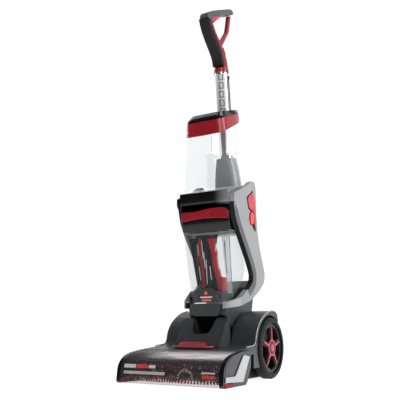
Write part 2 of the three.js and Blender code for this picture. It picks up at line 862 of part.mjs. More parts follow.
function buildUpright(machine) {
  const upright = new THREE.Group();
  machine.add(upright);
  piece(upright, "trunk_housing", trunkHousing(), GRAPHITE);
  piece(upright, "trunk_back_cover", trunkBackCover(), GRAPHITE);
  piece(upright, "tank_seat_band", seatBand(), GRAPHITE);
  for (const [name, side] of SIDES) {
    piece(upright, `frame_arm_${name}`, frameArm(side), SILVER);
    piece(upright, `side_accent_${name}`, sidePrism(ACCENT, side, ARM.outer + GAP, ARM.outer + 2), ROSE);
  }
  piece(upright, "mode_button", prismX(ovalPoints(MODE_BUTTON), ARM.outer - 2.4, ARM.outer + 4), ORANGE);
  piece(upright, "upper_housing", upperHousing(), BLACK);
  piece(upright, "rear_cover", rearCover(), BLACK);
  for (const { name, x, z } of ROCKERS) {
    piece(upright, name, rocker(), RED).position.set(x, 52, z);
  }
  piece(upright, "cord_gland", cordGland(), RUBBER);
  piece(upright, "vacuum_motor", vacuumMotor(), CASTING);
  piece(upright, "water_pump", box([-46, -12], [-70, -24], [150, 184]), BLACK);
  const heaterBody = joined(rodX(13, 2, 46, -40, 166, 20), box([6, 42], [-60, -40], [156, 176]));
  piece(upright, "inline_heater", heaterBody, CASTING);
  piece(upright, "tube_socket", tubeSocket(), SMOKE);
  const tube = piece(upright, "handle_tube", handleTube(), CHROME);
  tube.position.set(0, TUBE.y, TUBE.z);
  tube.rotation.x = LEAN;
}

// ---------------------------------------------------------------- clean-water tank
const TANK_PLAN = mirrored([
  [0, -124, 0],
  [62, -121, 12],
  [81, -109, 14],
  [79.5, -20, 24],
  [66, 31, 14],
  [50, 40, 4],
]);
// The tank narrows upwards, most of all at its rear, and its front leans forwards a little.
const tankTaper = (x, y, z) => {
  const up = z - 500;
  const lean = y < 0 ? (0.045 * up * y) / 122 : -0.0032 * up * y;
  const rear = THREE.MathUtils.clamp((y + 20) / 50, 0, 1);
  return [x * (1 - (0.00105 + 0.0005 * rear) * up), y + lean, z];
};
const tankForm = (depth) =>
  prismZ(inset(TANK_PLAN, depth), 470, 820, { steps: 4, map: tankTaper });

// What the tube and its socket pass through: a channel open to the rear.
function rearChannel(extra) {
  const wide = box([-44 - extra, 44 + extra], [-26 - extra, 90], [460, 640 + extra]);
  const narrow = box([-22 - extra, 22 + extra], [-26 - extra, 90], [600, 860]);
  return wide.add(narrow);
}

// The (y, z) outline between two height functions of y.
const between = (low, high) => [
  [-200, low(-200)],
  [100, low(100)],
  [100, high(100)],
  [-200, high(-200)],
];
const layer = (low, high) => prismX(between(low, high), -120, 120);

function cleanTank() {
  const outer = tankForm(0).subtract(rearChannel(0));
  const inner = tankForm(WALL).subtract(rearChannel(WALL));
  const shell = outer.intersect(layer((y) => deckHeight(y) + GAP, (y) => bandFoot(y) - GAP));
  return shell.subtract(inner.intersect(layer((y) => deckHeight(y) + GAP + WALL, (y) => bandFoot(y) + 90)));
}

function capBand() {
  const outer = tankForm(0).subtract(rearChannel(0));
  const inner = tankForm(WALL).subtract(rearChannel(WALL));
  return outer.subtract(inner).intersect(layer(bandFoot, (y) => bandTop(y) - GAP));
}

function capLid() {
  const drawIn = (x, y, z) => {
    const above = Math.max(0, z - bandTop(y));
    const [tx, ty] = tankTaper(x, y, z);
    return [tx * (1 - 0.007 * above), ty * (1 - (y < 0 ? 0.0055 : 0) * above), z];
  };
  const form = prismZ(TANK_PLAN, 640, 830, { steps: 10, map: drawIn });
  const crown = form.subtract(rearChannel(0)).intersect(layer(bandTop, capTop));
  const hollow = tankForm(10)
    .subtract(rearChannel(6))
    .intersect(layer((y) => bandTop(y) - 10, (y) => Math.max(bandTop(y) + 1, capTop(y) - 10)));
  return crown.subtract(hollow);
}

function buildCleanTank(machine) {
  const tank = new THREE.Group();
  machine.add(tank);
  piece(tank, "clean_tank", cleanTank(), CLEAR);
  piece(tank, "clean_tank_band", capBand(), RED);
  piece(tank, "clean_tank_cap", capLid(), BLACK);
}

// ---------------------------------------------------------------- dirty-water tank
const DIRTY_PROFILE = [
  [-106, TRUNK.top + GAP, 8],
  [-112, 230, 20],
  [-117, 300, 20],
  [-116, 372, 10],
  [-111, 394],
  [-26, 394],
  [2, 330, 20],
  [12, 288, 16],
  [2, 256, 16],
  [-40, 218, 20],
  [-66, TRUNK.top + GAP, 6],
];
const dirtyTaper = (x, y, z) => [x * (1 - 0.00195 * Math.max(0, 394 - z)), y, z];

function dirtyForm(depth) {
  const half = 72 - depth;
  const profile = inset(DIRTY_PROFILE, depth);
  return solid(
    mapped(
      swept(profile, 2 * half).applyMatrix4(ALONG_X).translate(-half, 0, 0),
      dirtyTaper,
    ),
  );
}

function dirtyTank() {
  const mouth = box([-66, 66], [-108, -34], [380, 400]);
  return dirtyForm(0).subtract(dirtyForm(WALL)).subtract(mouth);
}

const LID = [
  [-111, 394 + GAP],
  [-116, 410, 8],
  [-118, 440, 8],
  [-113, 461, 10],
  [-34, 462, 4],
  [-26, 394 + GAP],
];

function tankLid() {
  const room = prismX(inset(LID, 4), -70, 70);
  const mouth = box([-66, 66], [-106, -36], [390, 410]);
  return prismX(LID, -74.5, 74.5).subtract(joined(room, mouth));
}

function tankLatch() {
  const face = [
    [-74, 424, 5],
    [-74, 451, 6],
    [-24, 449, 20],
    [8, 456, 14],
    [62, 456, 12],
    [74, 446, 8],
    [74, 424, 5],
    [0, 431, 50],
  ];
  return prismY(face, -123, -118 - 2 * GAP);
}

function inletDuct() {
  const outer = [[6, -90, 6], [34, -90, 6], [34, -62, 6], [6, -62, 6]];
  return prismZ(outer, 206, 380).subtract(prismZ(inset(outer, 2.5), 205, 381));
}

const FLOAT = { x: -20, y: -36, radius: 10, low: 316, high: 338, rod: 2.5 };

function floatGuide() {
  const rod = rodZ(FLOAT.rod, 236, 384, FLOAT.x, FLOAT.y, 12);
  const rest = rodZ(7, FLOAT.low - 6, FLOAT.low - GAP, FLOAT.x, FLOAT.y, 16);
  return joined(rod, rest);
}

function tankFloat() {
  const { x, y, radius, low, high, rod } = FLOAT;
  return rodZ(radius, low, high, x, y).subtract(rodZ(rod + 0.5, low - 1, high + 1, x, y, 12));
}

function separatorSpine() {
  const outer = [[-34, -92, 8], [-8, -92, 4], [-8, -66, 4], [-34, -66, 8]];
  return prismZ(outer, 206, 380).subtract(prismZ(inset(outer, 2.5), 205, 381));
}

function buildDirtyTank(machine) {
  const tank = new THREE.Group();
  machine.add(tank);
  piece(tank, "dirty_tank", dirtyTank(), CLEAR);
  piece(tank, "tank_lid", tankLid(), BLACK);
  piece(tank, "tank_latch", tankLatch(), RED);
  piece(tank, "inlet_duct", inletDuct(), RED);
  piece(tank, "separator_spine", separatorSpine(), BLACK);
  piece(tank, "float_guide", floatGuide(), STEEL);
  piece(tank, "float", tankFloat(), RED);
}

// ---------------------------------------------------------------- handle
const SPINE_REAR = [
  [4, 890],
  [3, 924, 10],
  [-5, 944, 10],
  [-24, 968, 20],
  [-50, 989, 20],
  [-74, 1006],
  [-86, 1023, 6],
];
const SPINE_FRONT = [
  [-109, 1030, 6],
  [-94, 1004, 20],
  [-62, 978, 20],
  [-40, 952, 20],
  [-26, 926, 10],
  [-25, 890],
];
const TOP_BAR = [
  [-110, 1031.5],
  [-125, 1031.5, 4],
  [-119, 1048, 10],
  [-103, 1059, 10],
  [-61, 1083, 30],
  [25, 1127, 10],
  [40, 1128, 6],
  [45, 1118, 6],
  [32, 1109, 8],
  [3, 1096, 10],
  [-30, 1079, 20],
  [-84, 1053],
  [-91, 1042],
  [-88, 1028.5],
];
const BRACE = [
  [28, 1106.4],
  [42, 1112],
  [27, 1048, 10],
  [-14, 990, 6],
  [-32, 966],
  [-54, 984],
  [-18, 1005, 6],
  [14, 1045, 10],
];
const TRIGGER = [
  [-80, 1030, 4],
  [-30, 1076, 4],
  [-36, 1080],
  [-84, 1056],
  [-90, 1040],
];
const TRIGGER_PIVOT = { y: -32, z: 1075 };
const TRIGGER_THROW = 7; // degrees

const triggerForm = (half, extra) => prismX(inset(TRIGGER, -extra), -half, half);

// The room that the trigger needs through its throw.
function triggerPocket() {
  const turnedBy = (degrees) =>
    turned(
      triggerForm(8.7, 0.7),
      new THREE.Matrix4()
        .makeTranslation(0, TRIGGER_PIVOT.y, TRIGGER_PIVOT.z)
        .multiply(new THREE.Matrix4().makeRotationX(-THREE.MathUtils.degToRad(degrees)))
        .multiply(new THREE.Matrix4().makeTranslation(0, -TRIGGER_PIVOT.y, -TRIGGER_PIVOT.z)),
    );
  return joined(...[0, 0.25, 0.5, 0.75, 1].map((share) => turnedBy(share * TRIGGER_THROW)));
}

function handleFrame() {
  const spine = prismX([...SPINE_REAR, ...SPINE_FRONT], -13, 13);
  const brace = prismX(BRACE, -5, 5);
  const collar = turned(rodZ(22.5, -3, 10, 0, 0, 28), tubeMatrix(TUBE.length));
  const bore = turned(rodZ(TUBE.radius + GAP, -40, 0, 0, 0, 28), tubeMatrix(TUBE.length + GAP));
  return joined(spine, brace, collar).subtract(bore).subtract(triggerPocket());
}

function handleGrip() {
  const front = [
    [-26.4, 912],
    [-42, 912],
    [-45, 928, 15],
    [-58, 946, 20],
    [-94, 979, 20],
    [-115, 1004, 20],
    [-126, 1030.8, 4],
  ];
  const back = inset([...SPINE_REAR, ...SPINE_FRONT], -GAP)
    .slice(SPINE_REAR.length + 1, -1)
    .map(([y, z, round]) => [y, z, round]);
  return prismX([...front, ...back], -16, 16);
}

function handleTopBar() {
  return prismX(TOP_BAR, -13.5, 13.5).subtract(triggerPocket());
}

const HOOK = { y: -14.1, z: 956.4, turn: -0.9 };

// The swivelling cord hook in its own frame: z points away from the handle's rear face.
function cordHook() {
  const stem = rodZ(4, 0, 14, 0, 0, 14);
  const finger = box([-7, 7], [-19, 6], [11, 18]);
  return joined(stem, finger);
}

function buildHandle(machine) {
  const handle = new THREE.Group();
  machine.add(handle);
  piece(handle, "handle_frame", handleFrame(), RED);
  piece(handle, "handle_grip", handleGrip(), RUBBER);
  piece(handle, "handle_top_bar", handleTopBar(), GRAPHITE);
  piece(handle, "trigger", triggerForm(8, 0), ROSE);
  const hook = piece(handle, "cord_hook_upper", cordHook(), RED);
  hook.position.set(0, HOOK.y, HOOK.z);
  hook.rotation.x = HOOK.turn;
}

// ---------------------------------------------------------------- machine
const root = new THREE.Group();
const machine = new THREE.Group();
// the part's origin is the middle of its footprint, on the floor
machine.position.y = -(FRONT_Y + REAR_Y) / 2;
root.add(machine);
buildFoot(machine);
buildWheels(machine);
buildUpright(machine);
buildCleanTank(machine);
buildDirtyTank(machine);
buildHandle(machine);

export default root;
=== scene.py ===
"""Looks of the upright carpet cleaner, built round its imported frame.

Every length in the dataclasses is in millimetres. Side-view places are (y, z) from the wheel axle's plane and the
floor, as the maker's drawing has them, and at() turns them into the frame's metres.
"""

import json
import logging
import math
from dataclasses import dataclass, field
from enum import Enum

import bmesh
import bpy
from mathutils import Matrix, Vector


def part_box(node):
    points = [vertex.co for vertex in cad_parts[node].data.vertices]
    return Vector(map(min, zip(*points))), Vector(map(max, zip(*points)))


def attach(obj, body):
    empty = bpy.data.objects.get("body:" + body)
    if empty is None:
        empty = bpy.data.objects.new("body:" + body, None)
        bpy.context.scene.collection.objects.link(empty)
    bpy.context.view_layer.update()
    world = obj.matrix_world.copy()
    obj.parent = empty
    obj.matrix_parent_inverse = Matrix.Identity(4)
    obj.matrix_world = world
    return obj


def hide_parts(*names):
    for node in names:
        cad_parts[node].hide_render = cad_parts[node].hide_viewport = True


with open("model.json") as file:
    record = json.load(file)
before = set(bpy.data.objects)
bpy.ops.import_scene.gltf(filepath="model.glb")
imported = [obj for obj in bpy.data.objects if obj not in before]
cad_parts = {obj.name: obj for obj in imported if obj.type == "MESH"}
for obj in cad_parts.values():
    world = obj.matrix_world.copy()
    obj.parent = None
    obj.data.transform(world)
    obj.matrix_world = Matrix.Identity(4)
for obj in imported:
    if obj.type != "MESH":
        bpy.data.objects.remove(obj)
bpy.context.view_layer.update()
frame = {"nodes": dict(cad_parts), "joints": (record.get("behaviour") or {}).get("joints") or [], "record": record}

MM = 0.001
AXLE_Y = next(j for j in frame["joints"] if j["name"] == "recline")["pos_m"][1]
NODE_BODY = {n: b for b, nodes in frame["record"]["behaviour"]["bodies"].items() for n in nodes}
SHARP = math.radians(38)
FLAT = math.radians(0.6)

Point = tuple[float, float]
Place = tuple[float, float, float]

log = logging.getLogger("carpet_cleaner")


class Side(Enum):
    """The two sides of the machine, seen from the front."""

    RIGHT = 1
    LEFT = -1

    @property
    def word(self) -> str:
        """The side's name as the frame's nodes spell it."""
        return self.name.lower()


def at(x: float, y: float, z: float) -> Vector:
    """A place in the frame, in metres, from a place on the drawing."""
    return Vector((x * MM, y * MM + AXLE_Y, z * MM))


def linear(code: str) -> tuple[float, float, float]:
    """A linear colour from its hexadecimal sRGB code."""
    parts = [int(code[i : i + 2], 16) / 255 for i in (1, 3, 5)]
    return tuple(c / 12.92 if c <= 0.04045 else ((c + 0.055) / 1.055) ** 2.4 for c in parts)


# ------------------------------------------------------------------ shader maths
class Value:
    """A shader socket that takes part in arithmetic."""

    def __init__(self, graph: "Graph", socket: bpy.types.NodeSocket) -> None:
        """Wraps a node's output."""
        self.graph = graph
        self.socket = socket

    def _math(self, operation: str, *terms: "Value | float") -> "Value":
        """Adds one Math node."""
        return self.graph.node("ShaderNodeMath", {"operation": operation}, dict(enumerate(terms)))

    def __add__(self, other: "Value | float") -> "Value":
        """Sum."""
        return self._math("ADD", self, other)

    def __sub__(self, other: "Value | float") -> "Value":
        """Difference."""
        return self._math("SUBTRACT", self, other)

    def __rsub__(self, other: float) -> "Value":
        """Difference from a number."""
        return self._math("SUBTRACT", other, self)

    def __mul__(self, other: "Value | float") -> "Value":
        """Product."""
        return self._math("MULTIPLY", self, other)

    def __truediv__(self, other: "Value | float") -> "Value":
        """Quotient."""
        return self._math("DIVIDE", self, other)

    def __pow__(self, other: float) -> "Value":
        """Power."""
        return self._math("POWER", self, other)

    def __abs__(self) -> "Value":
        """Size without sign."""
        return self._math("ABSOLUTE", self)

    def __lt__(self, other: "Value | float") -> "Value":
        """1 where it is less, else 0."""
        return self._math("LESS_THAN", self, other)

    def fraction(self) -> "Value":
        """What is left over a whole number."""
        return self._math("FRACT", self)

    def step(self, low: float, high: float) -> "Value":
        """A smooth rise from 0 at low to 1 at high."""
        return self.graph.node(
            "ShaderNodeMapRange",
            {"interpolation_type": "SMOOTHSTEP"},
            {"Value": self, "From Min": low, "From Max": high, "To Min": 0.0, "To Max": 1.0},
        )

    __radd__ = __add__
    __rmul__ = __mul__


class Graph:
    """The node tree of one material."""

    MIX_A, MIX_B, MIX_OUT = 6, 7, 2

    def __init__(self, name: str) -> None:
        """Starts an empty material."""
        self.material = bpy.data.materials.new(name)
        self.material.use_nodes = True
        self.tree = self.material.node_tree
        self.tree.nodes.clear()

    def node(
        self, kind: str, settings: dict | None = None, inputs: dict | None = None, output: int | str = 0
    ) -> Value:
        """Adds any node.

        Args:
            kind: the node's type.
            settings: attributes that are set first; "stops" are a ramp's (position, colour) pairs.
            inputs: values or links by socket name or number.
            output: the socket that is returned.

        Returns:
            The output, ready for more arithmetic.
        """
        made = self.tree.nodes.new(kind)
        for key, value in (settings or {}).items():
            if key == "stops":
                self._set_stops(made.color_ramp, value)
            else:
                setattr(made, key, value)
        for key, value in (inputs or {}).items():
            if isinstance(value, Value):
                self.tree.links.new(value.socket, made.inputs[key])
            else:
                made.inputs[key].default_value = value
        return Value(self, made.outputs[output])

    @staticmethod
    def _set_stops(ramp: bpy.types.ColorRamp, stops: list) -> None:
        """Gives a colour ramp its stops."""
        while len(ramp.elements) < len(stops):
            ramp.elements.new(0.5)
        for element, (position, color) in zip(ramp.elements, stops):
            element.position = position
            element.color = (*color, 1.0)

    def place(self) -> Value:
        """The surface's place in the frame."""
        return self.node("ShaderNodeTexCoord", output="Object")

    def split(self, vector: Value) -> list[Value]:
        """A vector's three parts."""
        made = self.node("ShaderNodeSeparateXYZ", inputs={0: vector}).socket.node
        return [Value(self, made.outputs[i]) for i in range(3)]

    def noise(self, place: Value, scale: float, detail: float = 2.0) -> Value:
        """Smooth noise with that many cells in a metre."""
        return self.node("ShaderNodeTexNoise", inputs={"Vector": place, "Scale": scale, "Detail": detail})

    def stretched(self, place: Value, scale: Place) -> Value:
        """A place with its axes scaled."""
        return self.node("ShaderNodeMapping", inputs={"Vector": place, "Scale": scale})

    def mixed(self, share: Value, first: Value | Place, second: Value | Place) -> Value:
        """A colour between two."""
        whole = [c if isinstance(c, Value) else (*c, 1.0) for c in (first, second)]
        return self.node(
            "ShaderNodeMix",
            {"data_type": "RGBA"},
            {0: share, self.MIX_A: whole[0], self.MIX_B: whole[1]},
            self.MIX_OUT,
        )

    def relief(self, height: Value, depth: float, strength: float = 0.6) -> Value:
        """A bumped normal from a height between 0 and 1 and its depth in metres."""
        return self.node("ShaderNodeBump", inputs={"Height": height, "Distance": depth, "Strength": strength})

    def principled(self, **inputs: "Value | float | tuple") -> Value:
        """A Principled shader; a name's underscores stand for spaces."""
        return self.node("ShaderNodeBsdfPrincipled", inputs={k.replace("_", " "): v for k, v in inputs.items()})

    def done(self, shader: Value) -> bpy.types.Material:
        """Links the shader to the output and gives the material."""
        end = self.tree.nodes.new("ShaderNodeOutputMaterial")
        self.tree.links.new(shader.socket, end.inputs["Surface"])
        return self.material


# ------------------------------------------------------------------ finishes
@dataclass(frozen=True)
class Moulding:
    """A moulded or painted surface with a fine grain, a slow change of tone and faint rubbing."""

    name: str
    tone: str
    other_tone: str
    roughness: float
    metallic: float = 0.0
    coat: float = 0.0
    grain: float = 1500.0
    depth: float = 0.00002
    shine: float = 0.4

    def tones(self, graph: Graph, place: Value) -> Value:
        """The surface's colour."""
        drift = graph.noise(place, 11.0, 3.0).step(0.35, 0.7)
        return graph.mixed(drift, linear(self.tone), linear(self.other_tone))

    def material(self) -> bpy.types.Material:
        """Makes the material."""
        graph = Graph(self.name)
        place = graph.place()
        grain = graph.noise(place, self.grain, 2.0)
        rubbed = graph.noise(place, 60.0, 4.0)
        return graph.done(
            graph.principled(
                Base_Color=self.tones(graph, place),
                Roughness=self.roughness + (rubbed - 0.5) * 0.16,
                Metallic=self.metallic,
                Coat_Weight=self.coat,
                Coat_Roughness=0.06,
                Specular_IOR_Level=self.shine,
                Normal=graph.relief(grain, self.depth),
            )
        )


@dataclass(frozen=True)
class Flake(Moulding):
    """Metallic paint: the tone sparkles from flake to flake."""

    def tones(self, graph: Graph, place: Value) -> Value:
        """The flakes' colour."""
        cell = graph.node("ShaderNodeTexVoronoi", inputs={"Vector": place, "Scale": 1900.0}, output="Distance")
        drift = graph.noise(place, 9.0, 2.0)
        share = (cell * 0.9 + drift * 0.5).step(0.2, 0.95)
        return graph.mixed(share, linear(self.tone), linear(self.other_tone))


@dataclass(frozen=True)
class FadedGloss(Moulding):
    """Gloss black with a painted reflection: it fades into silver grey towards the right-hand corner only, standing in
    for a bright reflection on that corner.
    """

    # Colour of the painted reflection.
    silver: str = "#76777a"
    fade_from: float = 0.03
    fade_to: float = 0.074

    def tones(self, graph: Graph, place: Value) -> Value:
        """Black, then the painted reflection's silver grey past the fade."""
        x, y, z = graph.split(place)
        share = x.step(self.fade_from, self.fade_to)
        return graph.mixed(share, super().tones(graph, place), linear(self.silver))


@dataclass(frozen=True)
class RecessedNeck(Moulding):
    """Graphite plastic with a black funnel painted down the middle of its front: painted shade standing in for the
    recess under the seat band.
    """

    # Black of the painted recess shade.
    panel: str = "#070708"
    top: float = 0.168
    foot: float = 0.108

    def tones(self, graph: Graph, place: Value) -> Value:
        """Graphite, and the painted shade's black inside the funnel."""
        x, y, z = graph.split(place)
        rise = (z - self.foot) / (self.top - self.foot)
        inside = (abs(x) - rise * 0.018 - 0.031).step(0.0008, -0.0008)
        level = inside * (z < self.top) * (y < 0.085)
        return graph.mixed(level, super().tones(graph, place), linear(self.panel))


@dataclass(frozen=True)
class Clear:
    """Clear moulding: a faint tint, a film of gloss that grows at grazing angles, slight flow lines, and a painted
    glow in its haze colour, as if lit from within.
    """

    name: str
    tint: str
    film: float
    edge: float
    haze: str = "#dde1e8"
    # Strength of the painted glow; the clear part is no lamp.
    lit: float = 0.0

    def sheen(self, graph: Graph, place: Value) -> Value | float:
        """The share that a painted highlight adds; plain walls have none."""
        return 0.0

    def material(self) -> bpy.types.Material:
        """Makes the material."""
        graph = Graph(self.name)
        place = graph.place()
        flow = graph.noise(graph.stretched(place, (40.0, 40.0, 6.0)), 1.0, 2.0)
        grazing = graph.node("ShaderNodeLayerWeight", inputs={"Blend": 0.28}, output="Facing")
        through = graph.node("ShaderNodeBsdfTransparent", inputs={"Color": (*linear(self.tint), 1.0)})
        gloss = graph.principled(
            Base_Color=graph.mixed(flow, linear(self.haze), linear("#eceef1")),
            Roughness=0.05 + flow * 0.04,
            # The haze colour glows: painted light.
            Emission_Color=(*linear(self.haze), 1.0),
            Emission_Strength=self.lit,
            Normal=graph.relief(flow, 0.0004, 0.25),
        )
        share = self.film + grazing**3.0 * self.edge + self.sheen(graph, place)
        return graph.done(graph.node("ShaderNodeMixShader", inputs={0: share, 1: through, 2: gloss}))


@dataclass(frozen=True)
class SheenClear(Clear):
    """Clear moulding with a long soft painted highlight along its upper curve, brighter to the right."""

    foot: float = 0.058
    top: float = 0.0765
    left: float = -0.11
    right: float = 0.03
    strength: float = 0.62

    def sheen(self, graph: Graph, place: Value) -> Value:
        """The painted highlight's share."""
        x, y, z = graph.split(place)
        streak = graph.noise(graph.stretched(place, (14.0, 90.0, 160.0)), 1.0, 3.0).step(0.32, 0.68)
        rise = z.step(self.foot, self.foot + 0.01) * z.step(self.top + 0.003, self.top - 0.006)
        return rise * x.step(self.left, self.right) * (streak * 0.7 + 0.3) * self.strength


@dataclass(frozen=True)
class Rubber:
    """Soft grip or tyre rubber with a pebbled grain."""

    name: str
    tone: str
    pebble: float
    depth: float

    def material(self) -> bpy.types.Material:
        """Makes the material."""
        graph = Graph(self.name)
        place = graph.place()
        pebble = graph.node(
            "ShaderNodeTexVoronoi", inputs={"Vector": place, "Scale": self.pebble}, output="Distance"
        )
        dust = graph.noise(place, 35.0, 4.0)
        return graph.done(
            graph.principled(
                Base_Color=graph.mixed(dust.step(0.5, 0.9), linear(self.tone), linear("#1c1c1d")),
                Roughness=0.5 + dust * 0.2,
                Specular_IOR_Level=0.25,
                Normal=graph.relief(pebble, self.depth, 0.8),
            )
        )


@dataclass(frozen=True)
class DrawnMetal:
    """Bright or turned metal with fine lines drawn along one axis."""

    name: str
    tone: str
    roughness: float
    lines: Place = (900.0, 900.0, 12.0)

    def material(self) -> bpy.types.Material:
        """Makes the material."""
        graph = Graph(self.name)
        place = graph.place()
        lines = graph.noise(graph.stretched(place, self.lines), 1.0, 3.0)
        return graph.done(
            graph.principled(
                Base_Color=graph.mixed(lines, linear(self.tone), linear("#e8e8ea")),
                Roughness=self.roughness + lines * 0.08,
                Metallic=1.0,
                Normal=graph.relief(lines, 0.00001, 0.3),
            )
        )


@dataclass(frozen=True)
class BlockStrip:
    """A satin strip with a row of plain outlined blocks down it."""

    name: str
    pitch: float = 0.027
    half_width: float = 0.0075
    middle: float = 0.006

    def material(self) -> bpy.types.Material:
        """Makes the material."""
        graph = Graph(self.name)
        place = graph.place()
        x, y, z = graph.split(place)
        up = abs((z / self.pitch).fraction() - 0.5)
        aside = abs(x - self.middle)
        outer = (up < 0.4) * (aside < self.half_width)
        inner = (up < 0.27) * (aside < self.half_width * 0.5)
        line = outer - inner
        satin = graph.noise(graph.stretched(place, (300.0, 300.0, 8.0)), 1.0, 2.0)
        ground = graph.mixed(satin, linear("#b4b7b9"), linear("#c6c9cb"))
        return graph.done(
            graph.principled(
                Base_Color=graph.mixed(line, ground, linear("#6f7375")),
                Roughness=0.4 + satin * 0.12,
                Metallic=0.1,
            )
        )


@dataclass(frozen=True)
class Bristle:
    """Nylon bristle whose tufts change colour from one to the next."""

    name: str
    stops: tuple

    def material(self) -> bpy.types.Material:
        """Makes the material."""
        graph = Graph(self.name)
        place = graph.place()
        cell = graph.node("ShaderNodeTexVoronoi", inputs={"Vector": place, "Scale": 150.0}, output="Color")
        pick = graph.split(cell)[0]
        ramp = graph.node(
            "ShaderNodeValToRGB", {"stops": [(p, linear(c)) for p, c in self.stops]}, {0: pick}
        )
        strand = graph.noise(place, 1800.0, 2.0)
        return graph.done(
            graph.principled(
                Base_Color=ramp, Roughness=0.38 + strand * 0.2, Normal=graph.relief(strand, 0.0001, 0.6)
            )
        )


class Finish(Enum):
    """Every finish on the machine."""

    GRAPHITE = Moulding("graphite_plastic", "#37383b", "#3e3f42", 0.4)
    GLOSS_BLACK = Moulding("gloss_black", "#050506", "#080809", 0.16, coat=0.15, depth=0.000004, shine=0.35)
    BLACK = Moulding("black_plastic", "#0a0a0b", "#101011", 0.4, shine=0.25)
    SKIRT = Moulding("skirt_plastic", "#151517", "#1b1b1d", 0.4, shine=0.3)
    WINE = Moulding("wine_plastic", "#7a1424", "#8a1c2d", 0.34, coat=0.1, depth=0.000006)
    BAR_GREY = Moulding("bar_grey_plastic", "#4a4b4e", "#545558", 0.42)
    LATCH_RED = Moulding("latch_red_plastic", "#a8263a", "#b83246", 0.32, coat=0.1, depth=0.000006)
    WHEEL_GREY = Moulding("wheel_grey", "#1e1e20", "#262628", 0.4, shine=0.3)
    # Black of the arms' stripe, also used as painted shade on the left arm's front and the wheels' shade discs.
    FRAME_BLACK = Moulding("frame_black", "#040405", "#070708", 0.3, shine=0.2)
    # Lit and shaded copies of the frame arms' one silver paint: painted light on the outer faces, painted shade on the
    # front bevel.
    LIGHT_SIDE = Flake("light_side_paint", "#87888a", "#97989a", 0.42, metallic=0.1)
    BEVEL_GREY = Flake("bevel_grey_paint", "#505255", "#626467", 0.36, metallic=0.2, coat=0.1)
    BRIGHT = Flake("bright_paint", "#9fa0a1", "#b2b3b4", 0.38, metallic=0.1, coat=0.1)
    CRIMSON = Moulding("crimson_plastic", "#8a1020", "#991526", 0.3, coat=0.15, depth=0.000006)
    DUCT_RED = Moulding("duct_red", "#a01022", "#b0182c", 0.34, coat=0.1, depth=0.000006)
    ROSE = Moulding("rose_plastic", "#b23848", "#c04c5a", 0.34, coat=0.1, depth=0.000006)
    ORANGE = Moulding("orange_plastic", "#e23f2c", "#e8543c", 0.3, coat=0.3, depth=0.000006)
    # White for the prints, and for the painted glints inside the lower tank.
    WHITE = Moulding("white_print", "#d9dadb", "#e6e6e6", 0.4)
    # The collar's fade to silver at its right-hand corner is a painted reflection.
    COLLAR = FadedGloss(
        "collar_black_to_silver", "#050506", "#080809", 0.18, coat=0.1, depth=0.000004, shine=0.35
    )
    # The neck's black funnel is painted shade of the recess under the seat band.
    NECK = RecessedNeck("neck_graphite", "#37383b", "#3e3f42", 0.4)
    SMOKE = Moulding("smoke_plastic", "#6a6c6e", "#7a7c7e", 0.22, coat=0.4, depth=0.000006)
    MOTOR_CASE = Moulding(
        "brush_motor_case", "#2a2b2d", "#333437", 0.45, metallic=0.4, grain=700.0, depth=0.00005
    )
    CASTING = Moulding("motor_casting", "#7c7e81", "#8c8e91", 0.48, metallic=0.7, grain=700.0, depth=0.0001)
    # Every clear finish below glows a little in its haze colour: painted light.
    TANK = Clear("clear_tank", "#fafbfb", 0.02, 0.4, haze="#e7e9eb", lit=0.7)
    LOWER_TANK = Clear("clear_lower_tank", "#f6f7f7", 0.015, 0.5, lit=0.4)
    # The window's soft highlight along its upper curve is painted.
    WINDOW = SheenClear("clear_window", "#efeced", 0.012, 0.3, haze="#e6dfe1", lit=0.35)
    BAFFLE = Clear("clear_baffle", "#f4f2f2", 0.008, 0.12, haze="#e6dfe1", lit=0.2)
    FROST = Clear("frosted_wall", "#fafafb", 0.86, 0.12, haze="#eceded", lit=0.8)
    DUCT_FROST = Clear("frosted_duct", "#eeefef", 0.3, 0.4, haze="#b9bcbe", lit=0.5)
    GRIP = Rubber("grip_rubber", "#0b0b0b", 1400.0, 0.00006)
    TYRE = Rubber("tyre_rubber", "#0a0a0a", 600.0, 0.0002)
    CHROME = DrawnMetal("chrome_tube", "#c4c5c7", 0.1)
    STEEL = DrawnMetal("turned_steel", "#a9aaac", 0.24, (12.0, 900.0, 900.0))
    STRIP = BlockStrip("tube_strip")
    BRUSH = Bristle(
        "brush_bristle",
        ((0.0, "#060606"), (0.3, "#0c0c0c"), (0.36, "#8c1120"), (0.78, "#b3202f"), (0.9, "#e2dcdc")),
    )
    EDGE_BRUSH = Bristle("edge_bristle", ((0.0, "#7c101c"), (1.0, "#a5222e")))

    def __init__(self, recipe: "Moulding | Clear | Rubber | DrawnMetal | BlockStrip | Bristle") -> None:
        """Keeps the recipe; the material is made at its first use."""
        self.recipe = recipe
        self._made: list[bpy.types.Material] = []

    @property
    def material(self) -> bpy.types.Material:
        """The finish's one material."""
        if not self._made:
            self._made.append(self.recipe.material())
        return self._made[0]


# ------------------------------------------------------------------ mesh work
def cad_copy(node: str) -> bmesh.types.BMesh:
    """A merged copy of a CAD node, with its flat facets joined."""
    bm = bmesh.new()
    bm.from_mesh(frame["nodes"][node].data)
    bmesh.ops.remove_doubles(bm, verts=bm.verts, dist=0.00002)
    bmesh.ops.dissolve_limit(bm, angle_limit=FLAT, verts=bm.verts, edges=bm.edges)
    return bm


